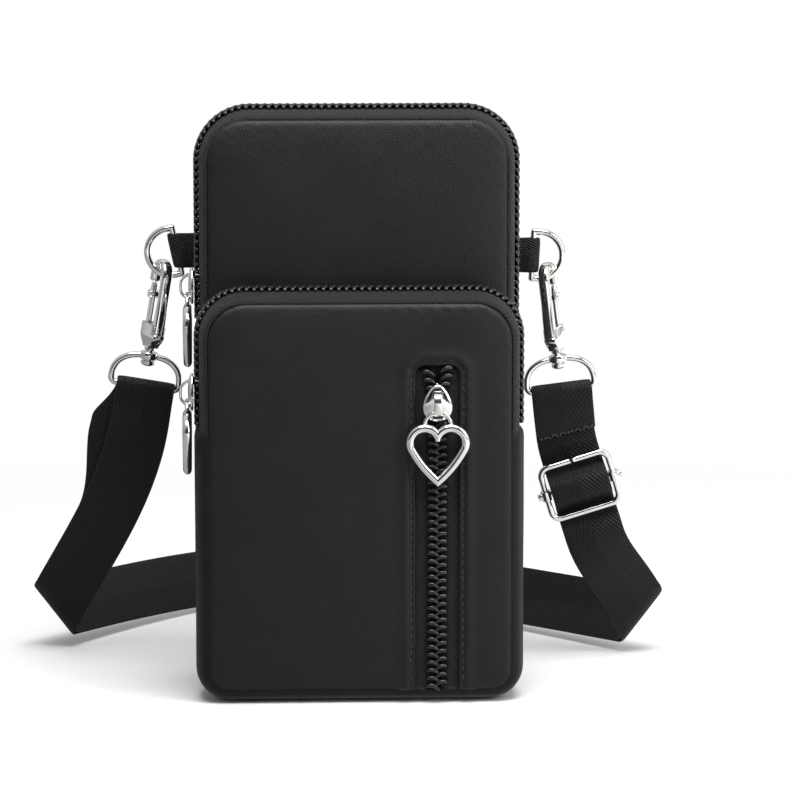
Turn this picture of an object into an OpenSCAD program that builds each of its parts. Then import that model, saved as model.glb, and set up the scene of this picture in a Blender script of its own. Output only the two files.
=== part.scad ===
// Slim crossbody phone pouch with two zipped compartments, a zipped front pocket and a clip-on strap.
// The origin is under the middle of the main compartment, on the surface the pouch stands on.
// X runs to the right, Y to the back and Z up. Sizes are in millimetres.

/* [Bag] */
// Width over the gusset, from side to side
bag_w = 104; // [92:1:130]
// Height over the main zip
bag_h = 187; // [160:1:220]
// Distance from a panel's seam out to the crest of the gusset
gusset_rise = 4; // [2.5:0.5:5]
// Inside depth of the main compartment
main_depth = 24.6; // [20:0.2:36]
// Inside depth of the front compartment
front_depth = 20.7; // [18:0.1:30]
// Corner radius of the bag's outline at the top
top_r = 13; // [10:0.5:18]
// Corner radius of the bag's outline at the bottom
bottom_r = 14; // [10:0.5:18]
// Height at which the main zip ends on both sides
main_zip_end = 118; // [110:1:122]
// How far the ends of the front zip stand below the top of its compartment
front_zip_drop = 44.5; // [42:0.5:60]

/* [Cloth] */
// Thickness of the nylon face
face_t = 0.6; // [0.4:0.1:0.8]
// Thickness of the foam
foam_t = 1.8; // [1.6:0.1:2.4]
// Thickness of the lining
lining_t = 0.5; // [0.3:0.1:0.6]
// Thickness of the gusset, face and lining together
gusset_t = 1.2; // [0.8:0.1:1.6]
// Height cut off the crest of a gusset, which leaves a flat land along it
land_cut = 0.8; // [0.6:0.1:1]

/* [Zips] */
// Thickness of the zip tape
tape_t = 0.5; // [0.4:0.05:0.6]
// Gap between two tapes of one zip, where the slider's post runs
tape_gap = 2.2; // [2.2:0.1:2.6]
// Width of one row of coil
coil_w = 3.2; // [2.8:0.1:3.3]
// Height of the coil above the tape
coil_h = 1.6; // [1.2:0.1:1.8]
// Distance from one turn of coil to the next
coil_pitch = 1.6; // [1.3:0.1:2.2]
// Depth of the hollow between two turns
coil_tooth = 0.8; // [0.5:0.1:1]
// Gap between the two rows of coil
row_gap = 0.1; // [0.05:0.05:0.2]
// Distance of the main zip's line in front of the middle of its compartment
main_zip_shift = 2.6; // [2.6:0.1:2.8]

/* [Front pocket] */
// Distance of the pocket zip from the middle of the bag
pocket_x = 24; // [15:1:28]
// Height of the pocket opening's lower end above the seam
pocket_low = 0.6; // [0.5:0.1:4]
// Height of the pocket opening
pocket_open_h = 103; // [80:1:106]
// Height of the front panel above the pocket opening
pocket_above = 19.9; // [14:0.1:30]
// Width of the pocket opening
pocket_open_w = 13.5; // [12:0.5:16]
// How far a pocket tape reaches past the opening
pocket_tape_seat = 1.6; // [1:0.2:3]
// Gap on either side between the pocket bag and the panel's seam
pocket_bag_margin = 8; // [8:1:12]
// Depth of the pocket bag inside
pocket_depth = 4.5; // [4.2:0.1:6]
// Thickness of the pocket bag's cloth
pocket_t = 0.4; // [0.3:0.1:0.6]

/* [Sliders and pulls] */
// Length of a slider
slider_l = 11.9; // [11:0.1:12.5]
// Width of a slider
slider_w = 9.2; // [8.8:0.1:10]
// Thickness of a slider's plates
slider_t = 1.1; // [0.9:0.1:1.2]
// Clearance between a slider and what runs in it
slider_gap = 0.25; // [0.2:0.05:0.3]
// Height of the crown that holds the pull
crown_h = 3.5; // [3.4:0.1:4]
// Width of the crown
crown_w = 2.6; // [2:0.1:3]
// Thickness of the crown's metal
crown_t = 0.9; // [0.7:0.1:1]
// How far the pocket slider's middle stands below the top of the opening
pocket_slider_drop = 11.5; // [11.5:0.5:27.5]
// Height of the main slider's middle
main_slider_z = 129; // [126:1:140]
// How far the front compartment slider's middle stands below the top of its compartment
front_slider_drop = 33.5; // [21.5:0.5:36]
// Radius of the heart's two lobes, on the line of its wire
lobe_r = 4.6; // [4.2:0.1:5]
// Distance of each lobe's centre from the middle of the heart
lobe_x = 4.1; // [3.6:0.1:4.1]
// Drop from the lobes' centres to the heart's tip
heart_drop = 12.3; // [11:0.1:14]
// Radius of the heart's two bowed sides
heart_side_r = 36; // [30:1:60]
// Radius of the heart's wire
heart_wire = 1.4; // [1.1:0.05:1.6]
// Radius of the arch's wire
arch_wire = 0.65; // [0.5:0.05:0.7]
// Radius of the arch, on the line of its wire
arch_r = 4.2; // [3.8:0.1:4.4]
// Rise of the arch's centre above the lobes' centres
arch_rise = 5.3; // [4.8:0.1:5.5]

/* [Tabs and rings] */
// Height of the left tab's middle
left_tab_z = 138.5; // [130:0.5:150]
// Height of the right tab's middle
right_tab_z = 136.5; // [130:0.5:150]
// Height of a tab's webbing
tab_h = 11.5; // [9:0.5:13]
// Length of a tab, from the panel's edge to the ring's bar
tab_l = 9.7; // [9:0.1:14]
// Thickness of one layer of the tab's webbing
tab_t = 1.1; // [0.9:0.1:1.15]
// Diameter of a ring's wire
ring_wire = 2.1; // [1.8:0.1:2.4]
// Radius of a ring's bow, on the line of its wire
ring_r = 7.6; // [6.5:0.1:8.5]
// Straight length between a ring's bar and its bow
ring_leg = 2; // [1.25:0.05:2.5]
// Where a hook hangs on its ring's bow, as an angle outwards from the lowest point
hang_angle = 24; // [24:0.5:27]
// Clearance between a pin or bar and the bore that it turns in
turn_gap = 0.05; // [0.02:0.01:0.09]
// Slant of the left ring's bar
left_ring_tilt = 12; // [5:1:14]
// Slant of the right ring's bar
right_ring_tilt = 3; // [0:1:8]

/* [Snap hooks] */
// Radius of a hook's eye, inside
eye_r = 3; // [2.9:0.1:3.6]
// Width of a hook's bar, seen from its face
hook_bar = 2.6; // [2.2:0.1:3]
// Thickness of a hook
hook_t = 3.6; // [3.2:0.1:3.8]
// Length of a hook from its eye's centre to the top of its base
hook_reach = 15.6; // [14:0.2:18]
// Height of a hook's base
base_h = 7.8; // [6:0.2:9]
// Length of the hook's tip below the eye's centre
tip_l = 2.4; // [1.6:0.1:3]
// Gap between a gate and the hook's tip
gate_gap = 0.4; // [0.35:0.05:0.6]
// Radius of a gate's pin
gate_pin_r = 0.7; // [0.5:0.05:0.9]
// Radius of the swivel pin
swivel_r = 1.3; // [1:0.1:1.5]
// Radius of the rivet head under the swivel
rivet_r = 2.3; // [2:0.1:2.6]
// Height of the rivet head
rivet_h = 1.8; // [1.2:0.1:2.4]
// Lean of the left hook
left_hook_lean = 9.5; // [6:0.5:11]
// Lean of the right hook
right_hook_lean = 7; // [4:0.5:11]
// How far each hook is turned about its own length, from square to its ring
hook_turn = 24; // [20:1:26]

/* [Strap] */
// Width of the webbing
strap_w = 19.5; // [16:0.5:22]
// Thickness of one layer of webbing
strap_t = 1.2; // [0.9:0.1:1.3]
// Gap between the two layers of the doubled strap
layer_gap = 0.2; // [0.1:0.1:0.4]
// Diameter of a strap loop's wire
loop_wire = 2; // [1.6:0.1:2.2]
// Clearance of the webbing inside a loop, each side
loop_gap = 0.3; // [0.2:0.1:0.8]
// Height of a strap loop, between the lines of its two bars
loop_h = 7; // [6.6:0.2:10]
// Radius of a loop's shoulders
shoulder_r = 3.6; // [2.5:0.1:4.5]
// Radius of the hub on a strap loop
hub_r = 3; // [2.6:0.1:3.4]
// Height of the hub
hub_h = 2.5; // [2:0.1:3]
// Radius of the webbing's bend where it folds at the floor
fold_r = 3; // [2:0.5:6]
// Outward lean of the left drop
left_lean_out = 22; // [17:0.5:24]
// Backward lean of the left drop
left_lean_back = 15.5; // [12:0.5:18]
// Outward lean of the right drop
right_lean_out = 27; // [24:0.5:30]
// Backward lean of the right drop
right_lean_back = 9.5; // [7:0.5:12]
// Heading of the left run behind the bag, from straight back
left_heading = 33; // [28:1:38]
// Heading of the right run behind the bag, from straight back
right_heading = 44; // [38:1:48]
// How far the strap's bow reaches back from its two folds
bow_reach = 150; // [120:5:190]

/* [Adjuster] */
// Width of the adjuster's frame, between the lines of its side rails
adjuster_w = 22.2; // [22:0.2:25]
// Height of the adjuster's frame, between the lines of its cross bars
adjuster_h = 16.8; // [15.8:0.2:20]
// Diameter of the adjuster's wire
adjuster_wire = 2.2; // [1.8:0.1:2.4]
// Distance down the strap from the right loop to the adjuster
adjuster_drop = 36.5; // [34:0.5:44]
// Outer radius of the collars of the sliding bar
collar_r = 1.8; // [1.6:0.1:2]
// Lean of the adjuster
adjuster_lean = 17; // [13:1:20]

/* [Hidden] */
$fn = 48;

// Overrun of every cut
over = 1;
// A panel's thickness and width, the main panels' height, the height of the lower seam,
// and half the main compartment's depth
panel_t = face_t + foam_t + lining_t;
panel_w = bag_w - 2 * gusset_rise;
panel_h = bag_h - 2 * gusset_rise;
panel_z = gusset_rise;
main_half = main_depth / 2;
// Y of each panel's inner side and of the middle of the front compartment
middle_y = -main_half - panel_t;
front_mid_y = middle_y - front_depth / 2;
front_in_y = middle_y - front_depth;
front_y = front_in_y - panel_t;
front_face_in = front_y + face_t;
// A zip tape lies below its coil
tape_out = -coil_h;
// Number of flats across a bulging strip
bulge_steps = 12;
// Lower and upper end of the pocket opening, and the heights that follow from it
slot_low = panel_z + pocket_low;
slot_high = slot_low + pocket_open_h;
pocket_slider_z = slot_high - pocket_slider_drop;
front_h = slot_high + pocket_above + gusset_rise;
front_zip_end = front_h - front_zip_drop;
front_slider_z = front_h - front_slider_drop;
pocket_bag_w = panel_w - 2 * pocket_bag_margin;
// The pocket coil's crest lies this far in front of its tape's face
pocket_crest_y = front_face_in - coil_h;
// Width of the channel through a slider, and its post's width, length and place
channel_w = 2 * (coil_w + row_gap) + 2 * slider_gap;
post_w = tape_gap - 2 * slider_gap;
post_l = 2.4;
post_inset = 1.2;
post_z = slider_l / 2 - post_l - post_inset;
// The crown's length, and where the pull's bar lies in it
crown_l = slider_l * 0.78;
crown_z = slider_l * -0.03;
arch_drop = arch_r - sqrt(arch_r * arch_r - crown_w * crown_w / 4);
pull_z = crown_z + crown_t + arch_wire + 2 * slider_gap + arch_drop - crown_l / 2;
main_zip_y = -main_zip_shift;
pull_x = slider_gap + slider_t + arch_wire + slider_gap;
arch_top = arch_rise + arch_r;
// The tabs leave the seam at this depth, and end at the ring's bar
tab_y = main_half + panel_t / 2;
ring_x = panel_w / 2 + tab_l;
ring_bore = ring_wire / 2 + turn_gap;
// Radius of a hook's eye on the line of its bar
eye_mid = eye_r + hook_bar / 2;
// Gap between two pieces where one hangs on or rests against the other
seat_gap = 0.35;
// Distances down from a hook's eye to the end of its base and to the strap loop's hub
swivel_top = hook_reach + base_h;
neck_h = 1.2;
hub_top = swivel_top + neck_h + seat_gap;
// Width of a strap loop, thickness of the doubled webbing, and the bore and length of its fold
loop_w = strap_w + 2 * loop_gap + loop_wire;
band_t = 2 * strap_t + layer_gap;
fold_bore = loop_wire / 2 + loop_gap / 2;
fold_l = 7;

// A direction of length one
function unit(v) = v / norm(v);
// Direction v turned by angle a about the unit axis k
function turned(v, k, a) = v * cos(a) + cross(k, v) * sin(a) + k * (k * v) * (1 - cos(a));
// Placement at o with the axes x, y and z
function placed(o, x, y, z) = [
    [x[0], y[0], z[0], o[0]],
    [x[1], y[1], z[1], o[1]],
    [x[2], y[2], z[2], o[2]],
    [0, 0, 0, 1]];

// Outline of a panel, standing on its lower edge
module panel_outline(h) {
    low_r = bottom_r - gusset_rise;
    high_r = top_r - gusset_rise;
    for (side = [-1, 1]) {
        translate([side * (panel_w / 2 - high_r), h - high_r]) circle(r = high_r);
        translate([side * (panel_w / 2 - low_r), low_r]) circle(r = low_r);
    }
    translate([-panel_w / 2, low_r]) square([panel_w, h - high_r - low_r]);
    translate([high_r - panel_w / 2, h - 2 * high_r]) square([panel_w - 2 * high_r, 2 * high_r]);
    translate([low_r - panel_w / 2, 0]) square([panel_w - 2 * low_r, 2 * low_r]);
}

// A layer of a panel, from y to y + t
module layer(h, y, t) {
    translate([0, y + t, panel_z]) rotate([90, 0, 0]) linear_extrude(t) panel_outline(h);
}

// The children's section carried up one side, over the top and down the other.
// In the section X is the distance outwards from the bag's outline, and Y is the part's Y.
module over_top(low_z, high_z, corner_r) {
    for (side = [0, 1]) mirror([side, 0, 0]) {
        translate([bag_w / 2, 0, low_z]) linear_extrude(high_z - corner_r - low_z) children();
        translate([bag_w / 2 - corner_r, 0, high_z - corner_r])
            rotate([-90, 0, 0]) rotate([0, 0, -90])
            rotate_extrude(angle = 90) translate([corner_r, 0]) children();
    }
    translate([bag_w / 2 - corner_r, 0, high_z]) rotate([0, -90, 0])
        linear_extrude(bag_w - 2 * corner_r) children();
}

// The children's section carried down one side, under the bottom and up the other
module under_bottom(high_z, corner_r) {
    mirror([0, 0, 1]) over_top(-high_z, 0, corner_r) children();
}

// How far a strip that bulges by rise over a width of w stands out at distance y from its middle
function bulge(w, rise, y) =
    let (r = (w * w / 4 + rise * rise) / (2 * rise))
    sqrt(r * r - y * y) - r + rise;

// Section of a strip of thickness t on a bulge of width w about the line mid, from y low to y high
module strip(mid, w, rise, t, low, high) {
    line = [for (i = [0 : bulge_steps])
        let (y = low + (high - low) * i / bulge_steps)
        [min(bulge(w, rise + land_cut, y) - gusset_rise, rise - gusset_rise), y + mid]];
    inner = [for (i = [bulge_steps : -1 : 0]) line[i] - [t, 0]];
    polygon(concat(line, inner));
}

// Place on a zip's line at the distance s from its left end, out from the bag's outline
function zip_point(s, low_z, high_z, out) =
    let (
        side = high_z - top_r - low_z,
        bend = PI / 2 * top_r,
        flat = bag_w - 2 * top_r,
        total = 2 * side + 2 * bend + flat,
        a = (s - side) / top_r * 180 / PI,
        mirrored = s > total / 2,
        q = mirrored ? zip_point(total - s, low_z, high_z, out) : [0, 0])
    mirrored ? [-q[0], q[1]]
    : s < side ? [-bag_w / 2 - out, low_z + s]
    : s < side + bend ? [
        top_r - bag_w / 2 - (top_r + out) * cos(a),
        high_z - top_r + (top_r + out) * sin(a)]
    : [s - side - bend + top_r - bag_w / 2, high_z + out];

// One row of coil along a zip: a band whose outer edge has one tooth for each turn
module coil_row(low_z, high_z, phase_share, y) {
    tooth_share = [[0, 0], [0.2, 1], [0.55, 1], [0.75, 0]];
    base_share = [2 / 3, 1 / 3, 0];
    total = 2 * (high_z - top_r - low_z) + PI * top_r + bag_w - 2 * top_r;
    turns = floor(total / coil_pitch) - 1;
    crest = [for (i = [0 : turns - 1], k = tooth_share)
        zip_point((i + phase_share + k[0]) * coil_pitch, low_z, high_z, (k[1] - 1) * coil_tooth)];
    base = [for (i = [turns - 1 : -1 : 0], k = base_share)
        zip_point((i + k + phase_share) * coil_pitch, low_z, high_z, -coil_h)];
    translate([0, y + coil_w, 0]) rotate([90, 0, 0]) linear_extrude(coil_w) polygon(concat(crest, base));
}

// The hollow that a slider's post parts in a zip's coil, at the left side of the bag
module side_post_cut(slider_z, mid) {
    translate([-bag_w / 2 - over, mid - post_w / 2 - slider_gap, slider_z + post_z - slider_gap])
        cube([coil_h + 2 * over, post_w + 2 * slider_gap, post_l + 2 * slider_gap]);
}

// Pear-shaped outline of a slider, narrow at its upper end
module slider_outline(l, w) {
    polygon([for (a = [0 : 15 : 345])
        [l / 2 * cos(a), w / 2 * sin(a) * (1 - 0.25 * cos(a)) * (1 - 0.1 * pow(cos(a), 2))]]);
}

// A slider. Z is its travel, X points out of the bag and X = 0 is the crest of the coil.
module slider() {
    skirt = coil_h - slider_gap;
    under = coil_h + tape_t + slider_gap;
    difference() {
        translate([-skirt, 0, 0]) rotate([0, -90, 180])
            linear_extrude(skirt + slider_gap + slider_t) slider_outline(slider_l, slider_w);
        translate([-skirt - over, -channel_w / 2, -slider_l])
            cube([skirt + over + slider_gap, channel_w, 2 * slider_l]);
    }
    translate([-under - slider_t * 0.7, 0, 0]) rotate([0, -90, 180])
        linear_extrude(slider_t * 0.7) slider_outline(slider_l * 0.94, slider_w * 0.9);
    translate([-under, -post_w / 2, post_z]) cube([under + slider_gap, post_w, post_l]);
    crown();
}

// The crown of a slider, a bridge along its length
module crown() {
    steps = 14;
    plate = slider_gap + slider_t;
    outer = [for (i = [0 : steps]) let (a = 180 * i / steps)
        [crown_h * pow(sin(a), 0.7), crown_l / 2 * cos(a)]];
    inner = [for (i = [steps : -1 : 0]) let (a = 180 * i / steps)
        [(crown_h - crown_t) * pow(sin(a), 0.7), (crown_l / 2 - crown_t) * cos(a)]];
    translate([plate, crown_w / 2, crown_z]) rotate([90, 0, 0]) linear_extrude(crown_w)
        polygon(concat(outer, inner));
}

// A straight round bar from a to b
module bar(a, b, r) {
    d = b - a;
    translate(a) rotate([0, acos(d[2] / norm(d)), atan2(d[1], d[0])]) cylinder(h = norm(d), r = r);
}

// One half of a heart, cut square just past its middle, so that the two halves join.
// Its lobe's wire runs on into a bowed side of a larger radius, and join_a is where the two meet.
module half_heart() {
    reach = norm([lobe_x, heart_drop]);
    inset = heart_side_r - lobe_r;
    join_a = atan2(lobe_x, heart_drop)
        + asin((heart_side_r * heart_side_r - inset * inset - reach * reach) / (2 * inset * reach));
    tip_a = atan2(heart_drop + inset * sin(join_a), inset * cos(join_a) - lobe_x);
    side_a = tip_a - join_a + asin(3 * heart_wire / heart_side_r);
    notch_a = acos(-lobe_x / lobe_r) + asin(heart_wire / lobe_r);
    intersection() {
        translate([0, lobe_x, 0]) rotate([90, 0, 90]) rotate([0, 0, -join_a]) {
            rotate_extrude(angle = notch_a + join_a) translate([lobe_r, 0]) circle(r = heart_wire);
            translate([-inset, 0, 0]) mirror([0, 1, 0])
                rotate_extrude(angle = side_a) translate([heart_side_r, 0]) circle(r = heart_wire);
        }
        translate([-heart_wire - over, -turn_gap, -2 * heart_drop])
            cube([2 * (heart_wire + over), 2 * (lobe_x + lobe_r), 4 * heart_drop]);
    }
}

// A heart pull with its arch. X = 0 is its plane, Z = 0 the arch's bar, and it hangs down.
module heart_pull() {
    translate([0, 0, -arch_top]) {
        half_heart();
        mirror([0, 1, 0]) half_heart();
        translate([0, 0, arch_rise]) rotate([90, 0, 90])
            rotate_extrude(angle = 180) translate([arch_r, 0]) circle(r = arch_wire);
    }
}

// A heart pull in its place under a slider's crown
module hung_pull() {
    translate([pull_x, 0, pull_z]) heart_pull();
}

// Places a slider or a pull on the left side of the bag
module at_side(z, mid) {
    translate([-bag_w / 2, mid, z]) rotate([0, 0, 180]) children();
}

// Places a slider or a pull on the pocket zip
module at_pocket(z) {
    translate([pocket_x, pocket_crest_y, z]) rotate([0, 0, -90]) children();
}

// A rounded slot of the pocket opening's shape in a plate, grown by extra all round
module pocket_slot(extra) {
    r = pocket_open_w / 2 + extra;
    reach = 2 * (main_depth + front_depth);
    translate([pocket_x, 0, 0]) rotate([90, 0, 0]) linear_extrude(reach, center = true) {
        translate([-r, slot_low - extra]) square([2 * r, slot_high - slot_low - pocket_open_w / 2 + extra]);
        translate([0, slot_high - pocket_open_w / 2]) circle(r = r);
    }
}

// How far a row of the pocket coil is spread at the height z, above its slider
function spread(z) = max(0, min((z - pocket_slider_z - post_z) * 0.3, post_w / 2 + slider_gap));

// One row of the pocket coil, on the side given
module pocket_coil(side) {
    low = slot_low + coil_pitch / 2;
    turns = floor((slot_high - coil_w - low) / coil_pitch);
    phase = side > 0 ? coil_pitch / 2 : 0;
    wire = coil_pitch * 0.46;
    reach = coil_pitch * 0.25;
    edge = [for (i = [0 : turns - 1]) let (z = low + phase + i * coil_pitch, s = spread(z)) each [
        [side * (s + coil_tooth + reach * 3), z],
        [side * (s - reach), z],
        [side * (s - reach), z + wire],
        [side * (s + coil_tooth + reach * 3), z + wire]]];
    back = [for (i = [turns - 1 : -1 : 0]) let (z = low + phase + i * coil_pitch) each [
        [side * (coil_w + spread(z)), z + wire],
        [side * (coil_w + spread(z)), z]]];
    difference() {
        translate([pocket_x, front_face_in, 0]) rotate([90, 0, 0]) linear_extrude(coil_h)
            polygon(concat(edge, back));
        translate([
            pocket_x - post_w / 2 - slider_gap, pocket_crest_y - over, pocket_slider_z + post_z - slider_gap])
            cube([post_w + 2 * slider_gap, coil_h + 2 * over, post_l + 2 * slider_gap]);
    }
}

// One tape of the pocket zip, on the side given
module pocket_tape(side) {
    w = pocket_open_w / 2 + pocket_tape_seat - tape_gap / 2;
    x = side > 0 ? tape_gap / 2 : -tape_gap / 2 - w;
    intersection() {
        translate([pocket_x + x, front_face_in, slot_low]) cube([w, tape_t, 2 * pocket_open_h]);
        pocket_slot(pocket_tape_seat);
    }
}

module back_panel() { color("#1c1c1f") layer(panel_h, main_half + lining_t + foam_t, face_t); }
module back_foam() { color("#e8e6df") layer(panel_h, main_half + lining_t, foam_t); }
module back_lining() { color("#2a2a2e") layer(panel_h, main_half, lining_t); }
module middle_panel() { color("#1c1c1f") layer(panel_h, middle_y, face_t); }
module middle_foam() { color("#e8e6df") layer(panel_h, middle_y + face_t, foam_t); }
module middle_lining() { color("#2a2a2e") layer(panel_h, middle_y + face_t + foam_t, lining_t); }

module front_panel() {
    color("#1c1c1f") difference() {
        layer(front_h - 2 * gusset_rise, front_y, face_t);
        pocket_slot(0);
    }
}

module front_foam() {
    color("#e8e6df") difference() {
        layer(front_h - 2 * gusset_rise, front_face_in, foam_t);
        pocket_slot(pocket_tape_seat + slider_gap);
    }
}

module front_lining() {
    color("#2a2a2e") difference() {
        layer(front_h - 2 * gusset_rise, front_in_y - lining_t, lining_t);
        pocket_slot(0);
    }
}

// The pocket bag hangs behind the lining, open to the zip
module pocket_bag() {
    h = front_h - 2 * gusset_rise - bottom_r;
    low = panel_z + gusset_t + pocket_t;
    color("#2a2a2e") difference() {
        translate([-pocket_bag_w / 2, front_in_y, low])
            cube([pocket_bag_w, pocket_depth + 2 * pocket_t, h]);
        translate([pocket_t - pocket_bag_w / 2, front_in_y + pocket_t, low + pocket_t])
            cube([pocket_bag_w - 2 * pocket_t, pocket_depth, h - 2 * pocket_t]);
        translate([pocket_x - pocket_open_w / 2, front_in_y - over, low + pocket_t])
            cube([pocket_open_w, over + 2 * pocket_t, slot_high - low - pocket_t]);
    }
}

module main_gusset() {
    color("#202023") under_bottom(main_zip_end, bottom_r)
        strip(0, main_depth, gusset_rise, gusset_t, -main_half, main_half);
}

module front_gusset() {
    color("#202023") under_bottom(front_zip_end, bottom_r)
        strip(front_mid_y, front_depth, gusset_rise, gusset_t, -front_depth / 2, front_depth / 2);
}

// One zip tape round a compartment with the middle mid, its zip's line shifted forwards from there.
// Side is -1 for the front tape and 1 for the rear one.
module zip_tape(low_z, high_z, mid, depth, shift, side) {
    low = side < 0 ? -depth / 2 : tape_gap / 2 - shift;
    high = side < 0 ? -tape_gap / 2 - shift : depth / 2;
    color("#161618") over_top(low_z, high_z, top_r)
        strip(mid, depth, gusset_rise + tape_out, tape_t, low, high);
}

module main_zip_tape_front() { zip_tape(main_zip_end, bag_h, 0, main_depth, main_zip_shift, -1); }
module main_zip_tape_rear() { zip_tape(main_zip_end, bag_h, 0, main_depth, main_zip_shift, 1); }
module front_zip_tape_front() { zip_tape(front_zip_end, front_h, front_mid_y, front_depth, 0, -1); }
module front_zip_tape_rear() { zip_tape(front_zip_end, front_h, front_mid_y, front_depth, 0, 1); }

// One row of coil round a compartment, parted at its slider's post
module zip_coil(low_z, high_z, mid, slider_z, side) {
    y = side < 0 ? mid - coil_w - row_gap / 2 : mid + row_gap / 2;
    color("#0f0f11") difference() {
        coil_row(low_z, high_z, side < 0 ? 0.25 : 0.75, y);
        side_post_cut(slider_z, mid);
    }
}

module main_zip_coil_front() { zip_coil(main_zip_end, bag_h, main_zip_y, main_slider_z, -1); }
module main_zip_coil_rear() { zip_coil(main_zip_end, bag_h, main_zip_y, main_slider_z, 1); }
module front_zip_coil_front() { zip_coil(front_zip_end, front_h, front_mid_y, front_slider_z, -1); }
module front_zip_coil_rear() { zip_coil(front_zip_end, front_h, front_mid_y, front_slider_z, 1); }

module main_slider() { color("#d9d9dc") at_side(main_slider_z, main_zip_y) slider(); }
module main_pull() { color("#d9d9dc") at_side(main_slider_z, main_zip_y) hung_pull(); }
module front_slider() { color("#d9d9dc") at_side(front_slider_z, front_mid_y) slider(); }
module front_pull() { color("#d9d9dc") at_side(front_slider_z, front_mid_y) hung_pull(); }

module pocket_zip_tape_left() { color("#161618") pocket_tape(-1); }
module pocket_zip_tape_right() { color("#161618") pocket_tape(1); }
module pocket_zip_coil_left() { color("#0f0f11") pocket_coil(-1); }
module pocket_zip_coil_right() { color("#0f0f11") pocket_coil(1); }
module pocket_slider() { color("#d9d9dc") at_pocket(pocket_slider_z) slider(); }
module pocket_pull() { color("#d9d9dc") at_pocket(pocket_slider_z) hung_pull(); }

// Places a ring, or what holds it, on the right of the bag, with its bar along Z and its bow towards X
module at_ring(z, tilt) {
    translate([ring_x, tab_y, z]) rotate([0, tilt, 0]) children();
}

// A tab on the right of the bag: folded webbing from the panel's edge to the ring's bar
module tab(z, tilt) {
    slant = tab_h / 2 * tan(tilt);
    color("#17171a") difference() {
        union() {
            translate([0, tab_y + tab_t, 0]) rotate([90, 0, 0]) linear_extrude(2 * tab_t) polygon([
                [panel_w / 2, z - tab_h / 2], [ring_x - slant, z - tab_h / 2],
                [ring_x + slant, z + tab_h / 2], [panel_w / 2, z + tab_h / 2]]);
            at_ring(z, tilt) cylinder(h = tab_h * cos(tilt) - tab_t, r = ring_bore + tab_t, center = true);
        }
        at_ring(z, tilt) cylinder(h = 2 * tab_h, r = ring_bore, center = true);
    }
}

module tab_left() { color("#17171a") mirror([1, 0, 0]) tab(left_tab_z, left_ring_tilt); }
module tab_right() { tab(right_tab_z, right_ring_tilt); }

// A D-ring, its bar along Z at the origin
module d_ring() {
    r = ring_wire / 2;
    cylinder(h = 2 * ring_r, r = r, center = true);
    for (side = [-1, 1]) translate([0, 0, side * ring_r]) {
        sphere(r = r);
        rotate([0, 90, 0]) cylinder(h = ring_leg, r = r);
    }
    translate([ring_leg, 0, 0]) rotate([90, 0, 0]) rotate([0, 0, -90])
        rotate_extrude(angle = 180) translate([ring_r, 0]) circle(r = r);
}

module ring_left() { color("#d9d9dc") mirror([1, 0, 0]) at_ring(left_tab_z, left_ring_tilt) d_ring(); }
module ring_right() { color("#d9d9dc") at_ring(right_tab_z, right_ring_tilt) d_ring(); }

// Centre of a hook's eye, hung on its ring's bow, which slopes more than the hook leans
function eye_place(z, tilt, lean) =
    let (
        seat = ring_wire / 2 / cos(hang_angle) + seat_gap + hook_t / 2 * tan(hang_angle - lean),
        x = ring_leg * cos(tilt) + ring_r * sin(hang_angle),
        drop = ring_leg * sin(tilt) + ring_r * cos(hang_angle))
    [ring_x + x, tab_y, z - drop + seat - eye_r];

// Places a hook on the right of the bag. Its eye is at the origin and its length runs down Z.
module at_hook(z, tilt, lean) {
    translate(eye_place(z, tilt, lean)) rotate([0, -lean, 0]) children();
}

// Section of a hook's bar, with its edges rounded off
module hook_section() {
    c = hook_bar / 4;
    w = hook_bar / 2;
    h = hook_t / 2;
    polygon([
        [-w, c - h], [c - w, -h], [w - c, -h], [w, c - h],
        [w, h - c], [w - c, h], [c - w, h], [-w, h - c]]);
}

// A snap hook in the XZ plane, its opening on the side of X
module hook() {
    ear = hook_t / 4;
    base_w = 2 * eye_mid + hook_bar;
    pin_z = -hook_reach - base_h * 0.3;
    difference() {
        union() {
            rotate([90, 0, 0]) rotate_extrude(angle = 180) translate([eye_mid, 0]) hook_section();
            translate([-eye_mid, 0, -hook_reach - base_h / 2])
                linear_extrude(hook_reach + base_h / 2) hook_section();
            translate([eye_mid, 0, -tip_l]) linear_extrude(tip_l) hook_section();
            translate([0, hook_t / 2, 0]) rotate([90, 0, 0]) linear_extrude(hook_t) polygon([
                [-base_w / 2, -hook_reach], [base_w / 2, -hook_reach],
                [base_w / 2, -hook_reach - base_h * 0.55], [base_w * 0.2, -swivel_top],
                [-base_w * 0.2, -swivel_top], [-base_w / 2, -hook_reach - base_h * 0.55]]);
            translate([0, 0, -swivel_top - neck_h]) cylinder(h = neck_h, r = hook_t / 2);
            translate([0, 0, -hub_top - hub_h - seat_gap - rivet_h / 2])
                cylinder(h = hub_top + hub_h + seat_gap + rivet_h / 2 - swivel_top, r = swivel_r);
            translate([0, 0, -hub_top - hub_h - seat_gap - rivet_h]) cylinder(h = rivet_h, r = rivet_r);
        }
        translate([eye_mid - hook_bar, -hook_t / 2 + ear, -hook_reach - base_h * 0.55])
            cube([2 * hook_bar, hook_t - 2 * ear, base_h * 0.55 + over]);
        translate([eye_mid, 0, pin_z]) rotate([90, 0, 0])
            cylinder(h = 2 * hook_t, r = gate_pin_r, center = true);
    }
}

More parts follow.
